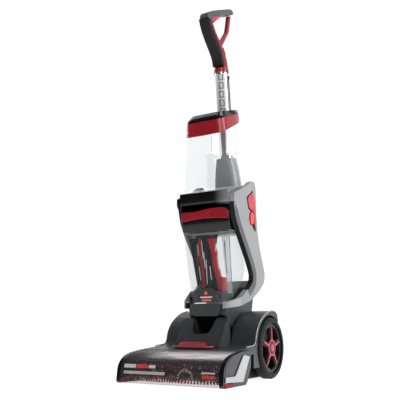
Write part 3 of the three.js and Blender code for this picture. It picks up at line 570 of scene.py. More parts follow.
def soften(
    bm: bmesh.types.BMesh, radius: float, segments: int = 2, angle: float = SHARP, flush: tuple[Point, ...] = ()
) -> None:
    """Rounds the edges that are sharper than an angle.

    Args:
        bm: the mesh.
        radius: width of the rounding in millimetres.
        segments: how many faces round each edge.
        angle: least angle between the faces, in radians.
        flush: pairs of heights in millimetres; an edge that lies between a pair stays crisp.
    """

    def is_flush(edge: bmesh.types.BMEdge) -> bool:
        """True for an edge that meets its neighbouring piece."""
        return any(all(low < v.co.z / MM < high for v in edge.verts) for low, high in flush)

    sharp = [e for e in bm.edges if len(e.link_faces) == 2 and e.calc_face_angle(0.0) > angle]
    edges = [e for e in sharp if not is_flush(e)]
    if radius > 0 and edges:
        bmesh.ops.bevel(
            bm,
            geom=edges,
            offset=radius * MM,
            offset_type="OFFSET",
            segments=segments,
            profile=0.5,
            affect="EDGES",
            material=-1,
            clamp_overlap=True,
        )


def prism(points: list[Place], along: Vector, radius: float = 0.0, segments: int = 2) -> bmesh.types.BMesh:
    """A flat outline drawn out along a vector, with its edges rounded.

    Args:
        points: the outline's corners, as places in the frame, in metres.
        along: how far and which way it is drawn out, in metres.
        radius: rounding of the edges in millimetres.
        segments: how many faces round each edge.

    Returns:
        The mesh, faces outwards.
    """
    bm = bmesh.new()
    face = bm.faces.new([bm.verts.new(p) for p in points])
    drawn = bmesh.ops.extrude_face_region(bm, geom=[face])
    verts = [g for g in drawn["geom"] if isinstance(g, bmesh.types.BMVert)]
    bmesh.ops.translate(bm, verts=verts, vec=along)
    bmesh.ops.recalc_face_normals(bm, faces=bm.faces)
    soften(bm, radius, segments, math.radians(20))
    return bm


def side_prism(
    points: list[Point], side: Side, near: float, far: float, radius: float = 0.0
) -> bmesh.types.BMesh:
    """A side-view outline drawn out between two distances from the middle plane."""
    start, reach = side.value * near, side.value * (far - near)
    return prism([at(start, y, z) for y, z in points], Vector((reach * MM, 0, 0)), radius)


def front_prism(points: list[Point], front: float, back: float, radius: float = 0.0) -> bmesh.types.BMesh:
    """A front-view (x, z) outline drawn out from one y to another."""
    return prism([at(x, front, z) for x, z in points], Vector((0, (back - front) * MM, 0)), radius)


def spun(profile: list[Point], centre: Vector, steps: int = 64) -> bmesh.types.BMesh:
    """A ring turned about the X axis through a centre from a closed (radius, x) profile in millimetres."""
    bm = bmesh.new()
    verts = [bm.verts.new(centre + Vector((x * MM, 0, radius * MM))) for radius, x in profile]
    edges = [bm.edges.new((a, b)) for a, b in zip(verts, verts[1:] + verts[:1])]
    bmesh.ops.spin(
        bm, geom=verts + edges, cent=centre, axis=(1, 0, 0), angle=2 * math.pi, steps=steps, use_merge=True
    )
    bmesh.ops.remove_doubles(bm, verts=bm.verts, dist=0.00001)
    bmesh.ops.recalc_face_normals(bm, faces=bm.faces)
    return bm


def smooth_run(points: list[Vector], steps: int = 6) -> list[Vector]:
    """A smooth run of places through the given ones."""
    ends = [2 * points[0] - points[1], *points, 2 * points[-1] - points[-2]]
    run = []
    for before, here, there, after in zip(ends, ends[1:], ends[2:], ends[3:]):
        for i in range(steps):
            t = i / steps
            run.append(
                0.5
                * (
                    2 * here
                    + (there - before) * t
                    + (2 * before - 5 * here + 4 * there - after) * t * t
                    + (3 * here - before - 3 * there + after) * t**3
                )
            )
    return [*run, points[-1]]


def rope(points: list[Vector], radius: float, sides: int = 8) -> bmesh.types.BMesh:
    """A round bead that follows a run of places.

    Args:
        points: the places, in metres.
        radius: the bead's radius in millimetres.
        sides: faces round it.

    Returns:
        The closed mesh.
    """
    bm = bmesh.new()
    heading = (points[1] - points[0]).normalized()
    turn = heading.to_track_quat("Z", "Y").to_matrix().to_4x4()
    start = bmesh.ops.create_circle(
        bm, cap_ends=True, segments=sides, radius=radius * MM, matrix=Matrix.Translation(points[0]) @ turn
    )
    ring = start["verts"]
    face = ring[0].link_faces[0]
    for i in range(1, len(points)):
        grown = bmesh.ops.extrude_face_region(bm, geom=[face], use_keep_orig=i == 1)
        face = next(g for g in grown["geom"] if isinstance(g, bmesh.types.BMFace))
        after = points[min(i + 1, len(points) - 1)] - points[i - 1]
        here = after.normalized()
        swing = heading.rotation_difference(here).to_matrix()
        bmesh.ops.translate(bm, verts=face.verts, vec=points[i] - points[i - 1])
        bmesh.ops.rotate(bm, verts=face.verts, cent=points[i], matrix=swing)
        heading = here
    bmesh.ops.recalc_face_normals(bm, faces=bm.faces)
    return bm


def joined(*parts: bmesh.types.BMesh) -> bmesh.types.BMesh:
    """Several meshes as one."""
    whole = bmesh.new()
    for part in parts:
        spare = bpy.data.meshes.new("spare")
        part.to_mesh(spare)
        part.free()
        whole.from_mesh(spare)
        bpy.data.meshes.remove(spare)
    return whole


def add_piece(
    name: str,
    bm: bmesh.types.BMesh,
    body: str,
    finishes: list[Finish],
    replaces: tuple[str, ...] = (),
    sharp: float = SHARP,
) -> bpy.types.Object:
    """Makes one finished piece of the machine.

    Args:
        name: the piece's name.
        bm: its mesh, which is used up.
        body: the body that it rides on.
        finishes: its finishes; a face's material index picks one.
        replaces: the CAD nodes that it stands for.
        sharp: the least angle of an edge that stays crisp, in radians.

    Returns:
        The object.
    """
    for edge in bm.edges:
        edge.smooth = not (len(edge.link_faces) == 2 and edge.calc_face_angle(0.0) > sharp)
    for face in bm.faces:
        face.smooth = True
    mesh = bpy.data.meshes.new(name)
    bm.to_mesh(mesh)
    bm.free()
    for finish in finishes:
        mesh.materials.append(finish.material)
    made = bpy.data.objects.new(name, mesh)
    bpy.context.scene.collection.objects.link(made)
    even = made.modifiers.new("even_normals", "WEIGHTED_NORMAL")
    even.keep_sharp = True
    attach(made, body)
    if replaces:
        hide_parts(*replaces)
    log.info("%s: %d faces on %s", name, len(mesh.polygons), body)
    return made


@dataclass
class Refined:
    """A CAD node's own shape with its moulded edges rounded."""

    node: str
    finish: Finish
    radius: float = 0.8
    segments: int = 2
    flush: tuple[Point, ...] = ()

    def build(self) -> bpy.types.Object:
        """Builds the piece in the node's place; edges between a pair of flush heights stay crisp."""
        bm = cad_copy(self.node)
        soften(bm, self.radius, self.segments, flush=self.flush)
        return add_piece(
            f"{self.node}_shell", bm, NODE_BODY[self.node], [self.finish], (self.node,)
        )


@dataclass
class Dressed:
    """CAD nodes whose shape stays, with a better finish."""

    nodes: dict[str, Finish]

    def dress(self) -> None:
        """Gives each node its finish."""
        for node, finish in self.nodes.items():
            mesh = frame["nodes"][node].data
            mesh.materials.clear()
            mesh.materials.append(finish.material)
            log.info("%s dressed in %s", node, finish.name.lower())


# ------------------------------------------------------------------ foot
@dataclass
class Foot:
    """The cleaning foot: cover, nozzle window, end caps, latch, brush rolls and what is under the cover."""

    window_run: list[Point] = field(
        default_factory=lambda: [
            (-199.6, 80), (-236, 76), (-262, 70), (-282, 60), (-294, 48), (-300, 34), (-303, 18), (-304.6, 3)
        ]
    )
    baffle_run: list[Point] = field(
        default_factory=lambda: [(-202, 64), (-240, 61), (-268, 54), (-282, 44), (-288, 31), (-290.6, 6)]
    )
    side_panel: list[Point] = field(
        default_factory=lambda: [
            (-290, 28), (-247, 28), (-203, 74), (-201, 77), (-246, 71), (-268, 63), (-283, 52), (-291, 40)
        ]
    )
    trim_line: list[Point] = field(
        default_factory=lambda: [
            (16, 180.6), (-8, 176.5), (-32, 169), (-54, 157.5), (-70, 146), (-84, 130), (-92, 112), (-97, 97),
            (-108, 90), (-128, 88), (-150, 86.6),
        ]
    )
    window_half: float = 138.4
    panel_reach: tuple[float, float] = (151.0, 151.8)
    roll_core: float = 12.5
    tuft_height: float = 9.5
    tuft_rows: int = 7
    tufts_in_row: int = 30

    def build(self) -> None:
        """Builds every piece of the foot."""
        for node, finish, radius in (
            ("foot_cover", Finish.GRAPHITE, 1.2),
            ("foot_chassis", Finish.SKIRT, 0.6),
            ("nozzle_end_cap_right", Finish.GLOSS_BLACK, 1.6),
            ("nozzle_end_cap_left", Finish.GLOSS_BLACK, 1.6),
            ("side_chevron_right", Finish.BRIGHT, 0.7),
            ("side_chevron_left", Finish.BRIGHT, 0.7),
            ("recline_pedal", Finish.GRAPHITE, 1.0),
        ):
            Refined(node, finish, radius).build()
        self.build_window()
        self.build_latch()
        self.build_prints()
        for side in Side:
            self.build_side(side)
        for node, direction in (("front_brush_roll", 1), ("rear_brush_roll", -1)):
            self.build_roll(node, direction)

    def curved_pane(self, run: list[Point], half: float, thickness: float) -> bmesh.types.BMesh:
        """A pane bent along a side-view run, from side to side.

        Args:
            run: its outer face, from the rear down to the front foot.
            half: half of its width.
            thickness: its wall, inwards.

        Returns:
            The closed mesh.
        """
        line = smooth_run([at(-half, y, z) for y, z in run])
        bm = bmesh.new()
        verts = [bm.verts.new(p) for p in line]
        edges = [bm.edges.new(pair) for pair in zip(verts, verts[1:])]
        drawn = bmesh.ops.extrude_edge_only(bm, edges=edges)
        moved = [g for g in drawn["geom"] if isinstance(g, bmesh.types.BMVert)]
        bmesh.ops.translate(bm, verts=moved, vec=(2 * half * MM, 0, 0))
        bmesh.ops.recalc_face_normals(bm, faces=bm.faces)
        if sum(face.normal.z for face in bm.faces) < 0:
            bmesh.ops.reverse_faces(bm, faces=bm.faces)
        bmesh.ops.solidify(bm, geom=bm.faces, thickness=thickness * MM)
        bmesh.ops.recalc_face_normals(bm, faces=bm.faces)
        return bm

    def build_window(self) -> None:
        """The clear nozzle window and the clear baffle behind it."""
        pane = self.curved_pane(self.window_run, self.window_half, 2.8)
        add_piece(
            "nozzle_window_pane", pane, "nozzle_window", [Finish.WINDOW], ("nozzle_window",)
        )
        baffle = self.curved_pane(self.baffle_run, self.window_half - 1.4, 1.8)
        add_piece(
            "suction_baffle_pane", baffle, "nozzle_window", [Finish.BAFFLE], ("suction_baffle",)
        )
        ribs = [
            front_prism([(x - 0.9, 26), (x + 0.9, 26), (x + 0.9, 44), (x - 0.9, 44)], -297, -289.6, 0.2)
            for x in range(-115, 116, 46)
        ]
        add_piece("window_ribs", joined(*ribs), "nozzle_window", [Finish.BAFFLE])
        lip = [at(x, -303.4, 3.4) for x in (-137, -45, 45, 137)]
        add_piece("window_lip", rope(lip, 1.1), "nozzle_window", [Finish.WINDOW])

    def build_prints(self) -> None:
        """The plain bars printed on the inside of the window, where the real one has its marks."""
        bars = {
            "window_bar_upper": (Finish.WHITE, (-131, -96, 38, 47)),
            "window_bar_orange": (Finish.ORANGE, (-93, -60, 38.4, 47.4)),
            "window_bar_upper_end": (Finish.WHITE, (-57, -38, 38.8, 46)),
            "window_bar_lower": (Finish.WHITE, (-131, -10, 24, 31)),
            "window_block_orange": (Finish.ORANGE, (93, 125, 20, 28)),
            "window_block_white": (Finish.WHITE, (91, 127, 31, 35)),
        }
        for name, (finish, (left, right, low, high)) in bars.items():
            corners = [(left, low), (right, low), (right + 1.5, high), (left + 1.5, high)]
            bm = front_prism(corners, -298.4, -297.9, 0.15)
            for vert in bm.verts:
                vert.co.y += (vert.co.z / MM - 18) * 0.13 * MM
            add_piece(name, bm, "nozzle_window", [finish])

        ticks = []
        for i in range(13):
            a = math.pi * (i + 0.5) / 13
            out = Vector((math.cos(a), math.sin(a)))
            across = Vector((-out.y, out.x)) * 0.55
            middle = Vector((48, 18))
            near, far = middle + out * 17, middle + out * 23
            corners = [near - across, near + across, far + across, far - across]
            ticks.append(front_prism([tuple(c) for c in corners], -298.4, -297.9))
        bm = joined(*ticks)
        for vert in bm.verts:
            vert.co.y += (vert.co.z / MM - 18) * 0.13 * MM
        add_piece("window_ticks", bm, "nozzle_window", [Finish.WHITE])

    def build_latch(self) -> None:
        """The red latch: a plate, a raised grip and three finger ridges."""
        Refined("nozzle_latch", Finish.LATCH_RED, 1.4, 3).build()
        ridges = [side_prism([(y, 96.4), (y + 1.6, 96.9), (y + 1.6, 98.6), (y, 98.2)], Side.RIGHT, -30, 30, 0.3)
                  for y in (-187.5, -183.5, -179.5)]
        add_piece("latch_ridges", joined(*ridges), "nozzle_latch", [Finish.ROSE])

    def build_side(self, side: Side) -> None:
        """One side's grey inlay, fender trim and edge brush.

        Args:
            side: which side.
        """
        near, far = self.panel_reach
        add_piece(
            f"side_panel_{side.word}",
            side_prism(self.side_panel, side, near, far, 0.3),
            "foot",
            [Finish.GRAPHITE],
        )
        line = smooth_run([at(side.value * 136.6, y, z) for y, z in self.trim_line], 3)
        add_piece(f"fender_trim_{side.word}", rope(line, 1.3), "foot", [Finish.BRIGHT])
        tufts = bmesh.new()
        for row in range(4):
            for i in range(16):
                foot = at(side.value * (145.2 + 2.1 * row), -290 + 2.5 * i, 5.4)
                bmesh.ops.create_cone(
                    tufts, cap_ends=True, segments=6, radius1=1.15 * MM, radius2=0.75 * MM, depth=9.8 * MM,
                    matrix=Matrix.Translation(foot),
                )
        add_piece(
            f"edge_brush_tufts_{side.word}", tufts, "foot", [Finish.EDGE_BRUSH],
            (f"edge_brush_{side.word}",),
        )

    def build_roll(self, node: str, direction: int) -> None:
        """One brush roll: core, collars and spiral rows of tufts.

        Args:
            node: the CAD node that it stands for.
            direction: which way its rows wind.
        """
        low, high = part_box(node)
        centre = (low + high) / 2
        half = 131.0
        core_profile = [
            (0.5, -144), (4.8, -144), (4.8, -half - 0.4), (self.roll_core + 2, -half), (self.roll_core + 2, -half + 4),
            (self.roll_core, -half + 5), (self.roll_core, half - 5), (self.roll_core + 2, half - 4),
            (self.roll_core + 2, half), (4.8, half + 0.4), (4.8, 144), (0.5, 144),
        ]
        core = spun(core_profile, centre, 32)
        pulley = spun([(5, -137.9), (8.9, -137.9), (8.9, -133), (5, -133)], centre, 28)
        add_piece(
            f"{node}_core", joined(core, pulley), NODE_BODY[node], [Finish.BLACK], (node,)
        )
        tufts = bmesh.new()
        for row in range(self.tuft_rows):
            for i in range(self.tufts_in_row):
                share = (i + 0.5) / self.tufts_in_row
                wind = direction * abs(share - 0.5) * 1.7
                angle = 2 * math.pi * row / self.tuft_rows + wind
                turn = Matrix.Rotation(angle, 4, "X")
                out = self.roll_core + self.tuft_height / 2
                along = (share - 0.5) * 2 * (half - 6)
                place = Matrix.Translation(centre) @ turn @ Matrix.Translation((along * MM, 0, out * MM))
                bmesh.ops.create_cone(
                    tufts, cap_ends=True, segments=6, radius1=1.3 * MM, radius2=2.5 * MM,
                    depth=self.tuft_height * MM, matrix=place,
                )
        add_piece(f"{node}_tufts", tufts, NODE_BODY[node], [Finish.BRUSH])

    def dress(self) -> None:
        """Finishes the pieces whose CAD shape stays."""
        Dressed(
            {
                "spray_bar": Finish.BLACK,
                "drive_belt": Finish.TYRE,
                "brush_motor": Finish.MOTOR_CASE,
                "motor_pulley": Finish.BLACK,
                "floor_duct": Finish.BLACK,
                "main_axle": Finish.STEEL,
            }
        ).dress()


# ------------------------------------------------------------------ wheels
@dataclass
class Wheel:
    """One wheel: grooved tyre, five-spoke rim and the raised star on its spokes."""

    side: Side
    tyre: list[Point] = field(
        default_factory=lambda: [
            (66.4, -14.2), (68, -15), (74, -15), (77.6, -13.6), (80, -11.2), (81, -8), (81, -5.4), (79.9, -5),
            (79.9, -3.8), (81, -3.4), (81, 3.4), (79.9, 3.8), (79.9, 5), (81, 5.4), (81, 8), (80, 11.2),
            (77.6, 13.6), (74, 15), (68, 15), (66.4, 14.2),
        ]
    )

    def build(self) -> None:
        """Builds the wheel's pieces."""
        word = self.side.word
        low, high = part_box(f"tyre_{word}")
        centre = (low + high) / 2
        body = f"wheel_{word}"
        add_piece(
            f"tyre_{word}_tread", spun(self.tyre, centre, 96), body, [Finish.TYRE], (f"tyre_{word}",)
        )
        Refined(f"wheel_rim_{word}", Finish.WHEEL_GREY, 0.7).build()
        Refined(f"wheel_star_{word}", Finish.ROSE, 0.6).build()
        # A black disc inside the spokes: painted shade standing in for the shadowed inside of the wheel.
        disc = [(17.5, -9), (17.5, -6.5), (65, -6.5), (65, -9)]
        shade_disc = spun([(r, self.side.value * x) for r, x in disc], centre, 48)
        add_piece(f"wheel_backing_{word}", shade_disc, body, [Finish.FRAME_BLACK])
        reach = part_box("main_axle")[1].x / MM - centre.x / MM * self.side.value
        cap = [(0.4, reach + 0.3), (9, reach + 0.3), (9.6, reach + 0.6), (9, reach + 1.4), (0.4, reach + 1.6)]
        hub = spun([(r, self.side.value * x) for r, x in cap], centre, 32)
        add_piece(f"hub_cap_{word}", hub, body, [Finish.ROSE])


# ------------------------------------------------------------------ upright body
@dataclass
class Upright:
    """Trunk, frame arms, upper housing with the controls, socket and handle tube."""

    stripe_edge: float = 89.0
    stripe_shift: float = 5.0
    bevel_shift: float = 21.0
    bevel_top: tuple[float, float] = (440.0, 472.0)
    stripe_heights: tuple[float, float] = (236.0, 470.0)
    stripe_reach: float = 88.0
    bevel_reach: float = 91.0
    inner_wall: float = 77.5
    oval: tuple[float, float, float, float] = (-14.0, 437.0, 11.0, 18.0)
    tube_foot: Point = (19.5, 566.0)
    tube_length: float = 334.0
    tube_radius: float = 20.0
    tube_lean: float = math.radians(6)
    strip_arc: tuple[float, float] = (math.radians(-38), math.radians(60))

    def build(self) -> None:
        """Builds every piece of the upright."""
        for node, finish, radius in (
            ("trunk_housing", Finish.NECK, 1.6),
            ("trunk_back_cover", Finish.GRAPHITE, 0.8),
            ("tank_seat_band", Finish.GRAPHITE, 1.6),
            ("upper_housing", Finish.COLLAR, 2.2),
            ("rear_cover", Finish.SKIRT, 0.8),
            ("side_accent_right", Finish.ROSE, 0.5),
            ("side_accent_left", Finish.ROSE, 0.5),
            ("power_switch", Finish.CRIMSON, 0.8),
            ("heat_switch", Finish.CRIMSON, 0.8),
            ("tube_socket", Finish.SMOKE, 1.6),
            ("mode_button", Finish.ORANGE, 1.2),
        ):
            Refined(node, finish, radius).build()
        for side in Side:
            self.build_arm(side)
            self.build_accent_border(side)
        self.build_oval_rim()
        self.build_tube()
        self.build_back_detail()

    def build_arm(self, side: Side) -> None:
        """One bent frame arm: black inner stripe, grey bevel and light outer face; the grey bevel and the light outer
        face are shaded and lit copies of one silver paint (painted shade and painted light), and the left arm's front
        faces are black as painted shade.

        Args:
            side: which arm.
        """
        node = f"frame_arm_{side.word}"
        bm = cad_copy(node)
        bmesh.ops.bisect_plane(
            bm,
            geom=[*bm.verts, *bm.edges, *bm.faces],
            dist=0.00001,
            plane_co=(side.value * self.stripe_edge * MM, 0, 0),
            plane_no=(1, 0, 0),
        )
        bm.normal_update()
        foot, head = self.stripe_heights
        inner = [
            f
            for f in bm.faces
            if f.normal.y < -0.25 and abs(f.normal.x) < 0.3 and foot < f.calc_center_median().z / MM < head
        ]
        stripe = {f for f in inner if abs(f.calc_center_median().x) < self.stripe_edge * MM}
        bevel = set(inner) - stripe
        moves = {}
        for vert in {v for f in inner for v in f.verts}:
            reach = abs(vert.co.x) / MM
            shift = self.stripe_shift if reach > self.stripe_reach else 0.0
            if reach > self.bevel_reach:
                shift = self.bevel_shift
            faces = [f for f in vert.link_faces if f in bevel or f in stripe]
            out = sum((f.normal for f in faces), Vector())
            low, high = self.bevel_top
            fade = min(1.0, max(0.0, (high - vert.co.z / MM) / (high - low)))
            moves[vert] = -Vector((0, out.y, out.z)).normalized() * shift * fade * MM
        for vert, move in moves.items():
            vert.co += move
        bm.normal_update()
        for face in bm.faces:
            centre = face.calc_center_median()
            # The left arm's front faces take the black as painted shade; the right arm's do not.
            painted_left_shade = side is Side.LEFT and face.normal.y < -0.3
            walled = abs(centre.x) < self.inner_wall * MM and abs(face.normal.x) > 0.9
            if face in stripe or painted_left_shade or walled:
                face.material_index = 2
            elif face in bevel:
                face.material_index = 1
        soften(bm, 0.8)
        add_piece(
            f"{node}_shell", bm, "upright", [Finish.LIGHT_SIDE, Finish.BEVEL_GREY, Finish.FRAME_BLACK],
            (node,),
        )

    def build_accent_border(self, side: Side) -> None:
        """The black edging under one red accent."""
        border = [(-43, 493), (-4, 520), (14, 490), (14.5, 402), (8, 404), (-1, 422), (-5, 455), (-32, 461)]
        bm = side_prism(border, side, 91.6, 92.5, 0.2)
        add_piece(f"accent_border_{side.word}", bm, "upright", [Finish.BLACK])

    def build_oval_rim(self) -> None:
        """The dark rim round the oval mode button."""
        y, z, half_y, half_z = self.oval
        count = 36
        run = [
            at(92.6, y + (half_y + 1.4) * math.cos(a), z + (half_z + 1.4) * math.sin(a))
            for a in (2 * math.pi * i / count for i in range(count + 1))
        ]
        add_piece("mode_button_rim", rope(run, 1.0), "upright", [Finish.GLOSS_BLACK])

    def build_tube(self) -> None:
        """The bright handle tube, its printed strip, and on each side a slim dark rod beside it with a black knob at
        its top; the rods stand in for the dark reflection along the tube's edge, a painted reflection.
        """
        lean = self.tube_lean
        up = Vector((0, -math.sin(lean), math.cos(lean)))
        back = Vector((0, math.cos(lean), math.sin(lean)))
        foot = at(0, *self.tube_foot)
        tilt = up.to_track_quat("Z", "Y").to_matrix().to_4x4()
        middle = Matrix.Translation(foot + up * self.tube_length / 2 * MM) @ tilt
        bm = bmesh.new()
        for radius, inside in ((self.tube_radius, False), (self.tube_radius - 1.6, True)):
            made = bmesh.ops.create_cone(
                bm, cap_ends=False, segments=72, radius1=radius * MM, radius2=radius * MM,
                depth=self.tube_length * MM, matrix=middle,
            )
            if inside:
                bmesh.ops.reverse_faces(bm, faces=list({f for v in made["verts"] for f in v.link_faces}))
        add_piece("handle_tube_bright", bm, "upright", [Finish.CHROME], ("handle_tube",))
        self.build_strip(foot, up, back)
        reach = self.tube_radius + 1.4
        beside = Vector((math.cos(math.radians(28)), 0, 0)) + back * math.sin(math.radians(28))
        # Dark rods beside the tube: painted reflection of the tube's dark edge.
        for side in Side:
            out = Vector((beside.x * side.value, beside.y, beside.z)) * reach * MM
            reflection_rod = [foot + up * h * MM + out for h in (76, 150, 230, 322)]
            add_piece(f"tube_rail_{side.word}", rope(reflection_rod, 1.3, 12), "upright", [Finish.SKIRT])
            knob = rope([foot + up * h * MM + out for h in (312, 314, 320, 322)], 2.9, 14)
            soften(knob, 1.0)
            add_piece(f"rail_knob_{side.word}", knob, "upright", [Finish.GLOSS_BLACK])

    def build_strip(self, foot: Vector, up: Vector, back: Vector) -> None:
        """The satin printed strip down the front of the tube.

        Args:
            foot: the lower end of the tube's axis.
            up: the axis's direction.
            back: the direction square to it, towards the rear.
        """
        strip = bmesh.new()
        front = foot + up * 176 * MM
        reach = (self.tube_radius + 0.3) * MM
        start, end = self.strip_arc
        turns = [start + (end - start) * i / 16 for i in range(17)]
        verts = [
            strip.verts.new(front + Vector((math.sin(a) * reach, 0, 0)) - back * math.cos(a) * reach)
            for a in turns
        ]
        edges = [strip.edges.new(pair) for pair in zip(verts, verts[1:])]
        drawn = bmesh.ops.extrude_edge_only(strip, edges=edges)
        moved = [g for g in drawn["geom"] if isinstance(g, bmesh.types.BMVert)]
        bmesh.ops.translate(strip, verts=moved, vec=up * 150 * MM)
        bmesh.ops.recalc_face_normals(strip, faces=strip.faces)
        if sum(f.normal.y for f in strip.faces) > 0:
            bmesh.ops.reverse_faces(strip, faces=strip.faces)
        bmesh.ops.solidify(strip, geom=strip.faces, thickness=0.2 * MM)
        add_piece("tube_strip", strip, "upright", [Finish.STRIP])

    def build_back_detail(self) -> None:
        """Screws and vents on the rear of the upright, and the gland."""
        Refined("cord_gland", Finish.GRIP, 0.6).build()
        vents = [
            front_prism([(x - 1.6, 412), (x + 1.6, 412), (x + 1.6, 446), (x - 1.6, 446)], 53.6, 54.4, 0.2)
            for x in range(-30, 31, 10)
        ]
        for vent in vents:
            for vert in vent.verts:
                vert.co.y -= max(0.0, (0.440 - vert.co.z)) * 1.1
        add_piece("motor_vents", joined(*vents), "upright", [Finish.GLOSS_BLACK])
        screws = bmesh.new()
        for x, z in ((-40, 462), (40, 462), (-40, 525), (40, 525)):
            turn = Matrix.Rotation(math.pi / 2, 4, "X")
            bmesh.ops.create_cone(
                screws, cap_ends=True, segments=20, radius1=2.4 * MM, radius2=2.9 * MM, depth=1.2 * MM,
                matrix=Matrix.Translation(at(x, 54.5, z)) @ turn,
            )
        add_piece("rear_screws", screws, "upright", [Finish.STEEL])

    def dress(self) -> None:
        """Finishes the pieces whose CAD shape stays."""
        Dressed(
            {"vacuum_motor": Finish.CASTING, "water_pump": Finish.BLACK, "inline_heater": Finish.CASTING}
        ).dress()


# ------------------------------------------------------------------ tanks
@dataclass
class CleanTank:
    """The clear upper tank with its red band and black lid."""

    channel_foot: float = 642.0

    def build(self) -> None:
        """Builds the tank, the band and the lid."""
        bm = cad_copy("clean_tank")
        soften(bm, 1.0)
        for face in bm.faces:
            middle = face.calc_center_median()
            beside = abs(middle.x) < 26 * MM and middle.y > AXLE_Y - 30.5 * MM
            face.material_index = int(beside and middle.z > self.channel_foot * MM)
        finishes = [Finish.TANK, Finish.FROST]
        add_piece("clean_tank_shell", bm, "clean_tank", finishes, ("clean_tank",))
        Refined("clean_tank_band", Finish.CRIMSON, 0.6).build()
        Refined("clean_tank_cap", Finish.GLOSS_BLACK, 1.6, 3).build()
        lines = [rope([at(x, -30.2, 646), at(x, -30.2, 700)], 0.8, 6) for x in (-25.6, 25.6)]
        add_piece("tank_inner_ribs", joined(*lines), "clean_tank", [Finish.SMOKE])


@dataclass
class DirtyTank:
    """The clear lower tank, the ducts and straps inside it, its lid, latch, float and badge."""

    strap: list[Point] = field(
        default_factory=lambda: [(-60, 377), (-38, 377), (-33, 324), (-21, 249), (-32, 243), (-48, 324)]
    )
    slim_duct: list[Point] = field(
        default_factory=lambda: [
            (-40, 378), (-31, 378), (-27, 330), (-19, 292), (-16, 240), (-24, 240), (-28, 292), (-36, 330)
        ]
    )
    main_duct: list[Point] = field(
        default_factory=lambda: [
            (-10, 378), (15, 378), (12, 358), (18, 336), (22, 300), (30, 270), (46, 268), (45, 232), (28, 229),
            (20, 262), (9, 296), (4, 336),
        ]
    )
    mid_strap: list[Point] = field(
        default_factory=lambda: [(-26, 378), (-14, 378), (-6, 300), (0, 236), (-14, 236), (-18, 300)]
    )
    # White slivers inside the clear tank painted as glints: painted reflections.
    glints: list[Place] = field(
        default_factory=lambda: [
            (-27, 372, 322, 6), (-20, 340, 296, 5), (-12, 318, 250, 4), (-40, 362, 330, 4), (-56, 384, 379, 14),
            (-34, 300, 262, 5), (0, 300, 262, 5), (20, 360, 340, -2), (24, 330, 290, 4),
        ]
    )
    shield: list[Point] = field(
        default_factory=lambda: [(-58, 390), (16, 390), (8, 340), (10, 290), (18, 232), (-38, 232), (-44, 300)]
    )
    badge: list[Point] = field(default_factory=lambda: [(-38, 200.5), (38, 200.5), (24, 239), (-24, 239)])

    def build(self) -> None:
        """Builds the tank's pieces."""
        Refined("dirty_tank", Finish.LOWER_TANK, 1.0).build()
        Refined("tank_lid", Finish.GLOSS_BLACK, 1.6, 3).build()
        Refined("tank_latch", Finish.CRIMSON, 1.2, 3).build()
        Refined("float", Finish.CRIMSON, 1.2).build()
        ducts = (
            ("inner_strap", self.strap, -105, -102, Finish.GLOSS_BLACK, "separator_spine"),
            ("inner_shield", self.shield, -74, -72, Finish.FRAME_BLACK, None),
            ("inner_duct_slim", self.slim_duct, -91, -83, Finish.DUCT_RED, None),
            ("inner_duct_main", self.main_duct, -91, -76, Finish.DUCT_RED, "inlet_duct"),
            ("inner_mid_strap", self.mid_strap, -86, -78, Finish.BLACK, None),
        )
        for name, points, front, back, finish, node in ducts:
            add_piece(
                name, front_prism(points, front, back, 1.6), "dirty_tank", [finish],
                (node,) if node else (),
            )
        # The glints are white geometry: painted reflections.
        glints = [
            front_prism([(x, top), (x + 2.2, top), (x + 2.2 + drift, foot), (x + drift, foot)], -93.4, -92.2, 0.3)
            for x, top, foot, drift in self.glints
        ]
        add_piece("inner_glints", joined(*glints), "dirty_tank", [Finish.WHITE])
        panel = front_prism([(22, 384), (47, 384), (55, 226), (40, 226)], -64, -62, 0.5)
        add_piece("inner_rear_duct", panel, "dirty_tank", [Finish.DUCT_FROST])
        edges = [
            rope([at(47, -64, 384), at(55.4, -64, 214)], 1.1, 8),
            rope([at(32, -66, 372), at(40, -66, 280)], 1.4, 8),
        ]
        add_piece("inner_duct_edges", joined(*edges), "dirty_tank", [Finish.SMOKE])
        self.build_badge()

    def build_badge(self) -> None:
        """The plain rounded badge at the tank's foot, with a generic dot and bar."""
        slope = 6.2 / 38

        def leaned(bm: bmesh.types.BMesh) -> bmesh.types.BMesh:
            """Leans a plate with the tank's front."""
            for vert in bm.verts:
                vert.co.y -= (vert.co.z / MM - 200) * slope * MM
            return bm

        plate = leaned(front_prism(self.badge, -109.4, -107.6, 1.2))
        add_piece("badge_plate", plate, "dirty_tank", [Finish.GLOSS_BLACK])
        marks = {
            "badge_bar": (Finish.ORANGE, [(-15, 203.5), (15, 203.5), (14, 210), (-14, 210)]),
            "badge_line": (Finish.WHITE, [(-19, 213), (19, 213), (18.4, 216), (-18.4, 216)]),
            "badge_dot": (
                Finish.ORANGE,
                [(5 * math.cos(a), 225 + 5 * math.sin(a)) for a in (i * math.pi / 8 for i in range(16))],
            ),
        }
        for name, (finish, points) in marks.items():
            add_piece(name, leaned(front_prism(points, -110.0, -109.2, 0.2)), "dirty_tank", [finish])

    def dress(self) -> None:
        """Finishes the pieces whose CAD shape stays."""
        Dressed({"float_guide": Finish.STEEL}).dress()


# ------------------------------------------------------------------ handle
@dataclass
class Handle:
    """The loop handle: red frame, rubber grip, top bar, trigger and cord hook."""

    def build(self) -> None:
        """Builds the handle's pieces."""
        Refined("handle_frame", Finish.WINE, 1.8, 3).build()
        Refined("handle_grip", Finish.GRIP, 5.0, 4, ((911, 913), (1027, 1032))).build()
        Refined("handle_top_bar", Finish.BAR_GREY, 4.0, 4, ((1028, 1033),)).build()
        Refined("trigger", Finish.ROSE, 1.4, 3).build()
        Refined("cord_hook_upper", Finish.WINE, 1.6, 3).build()


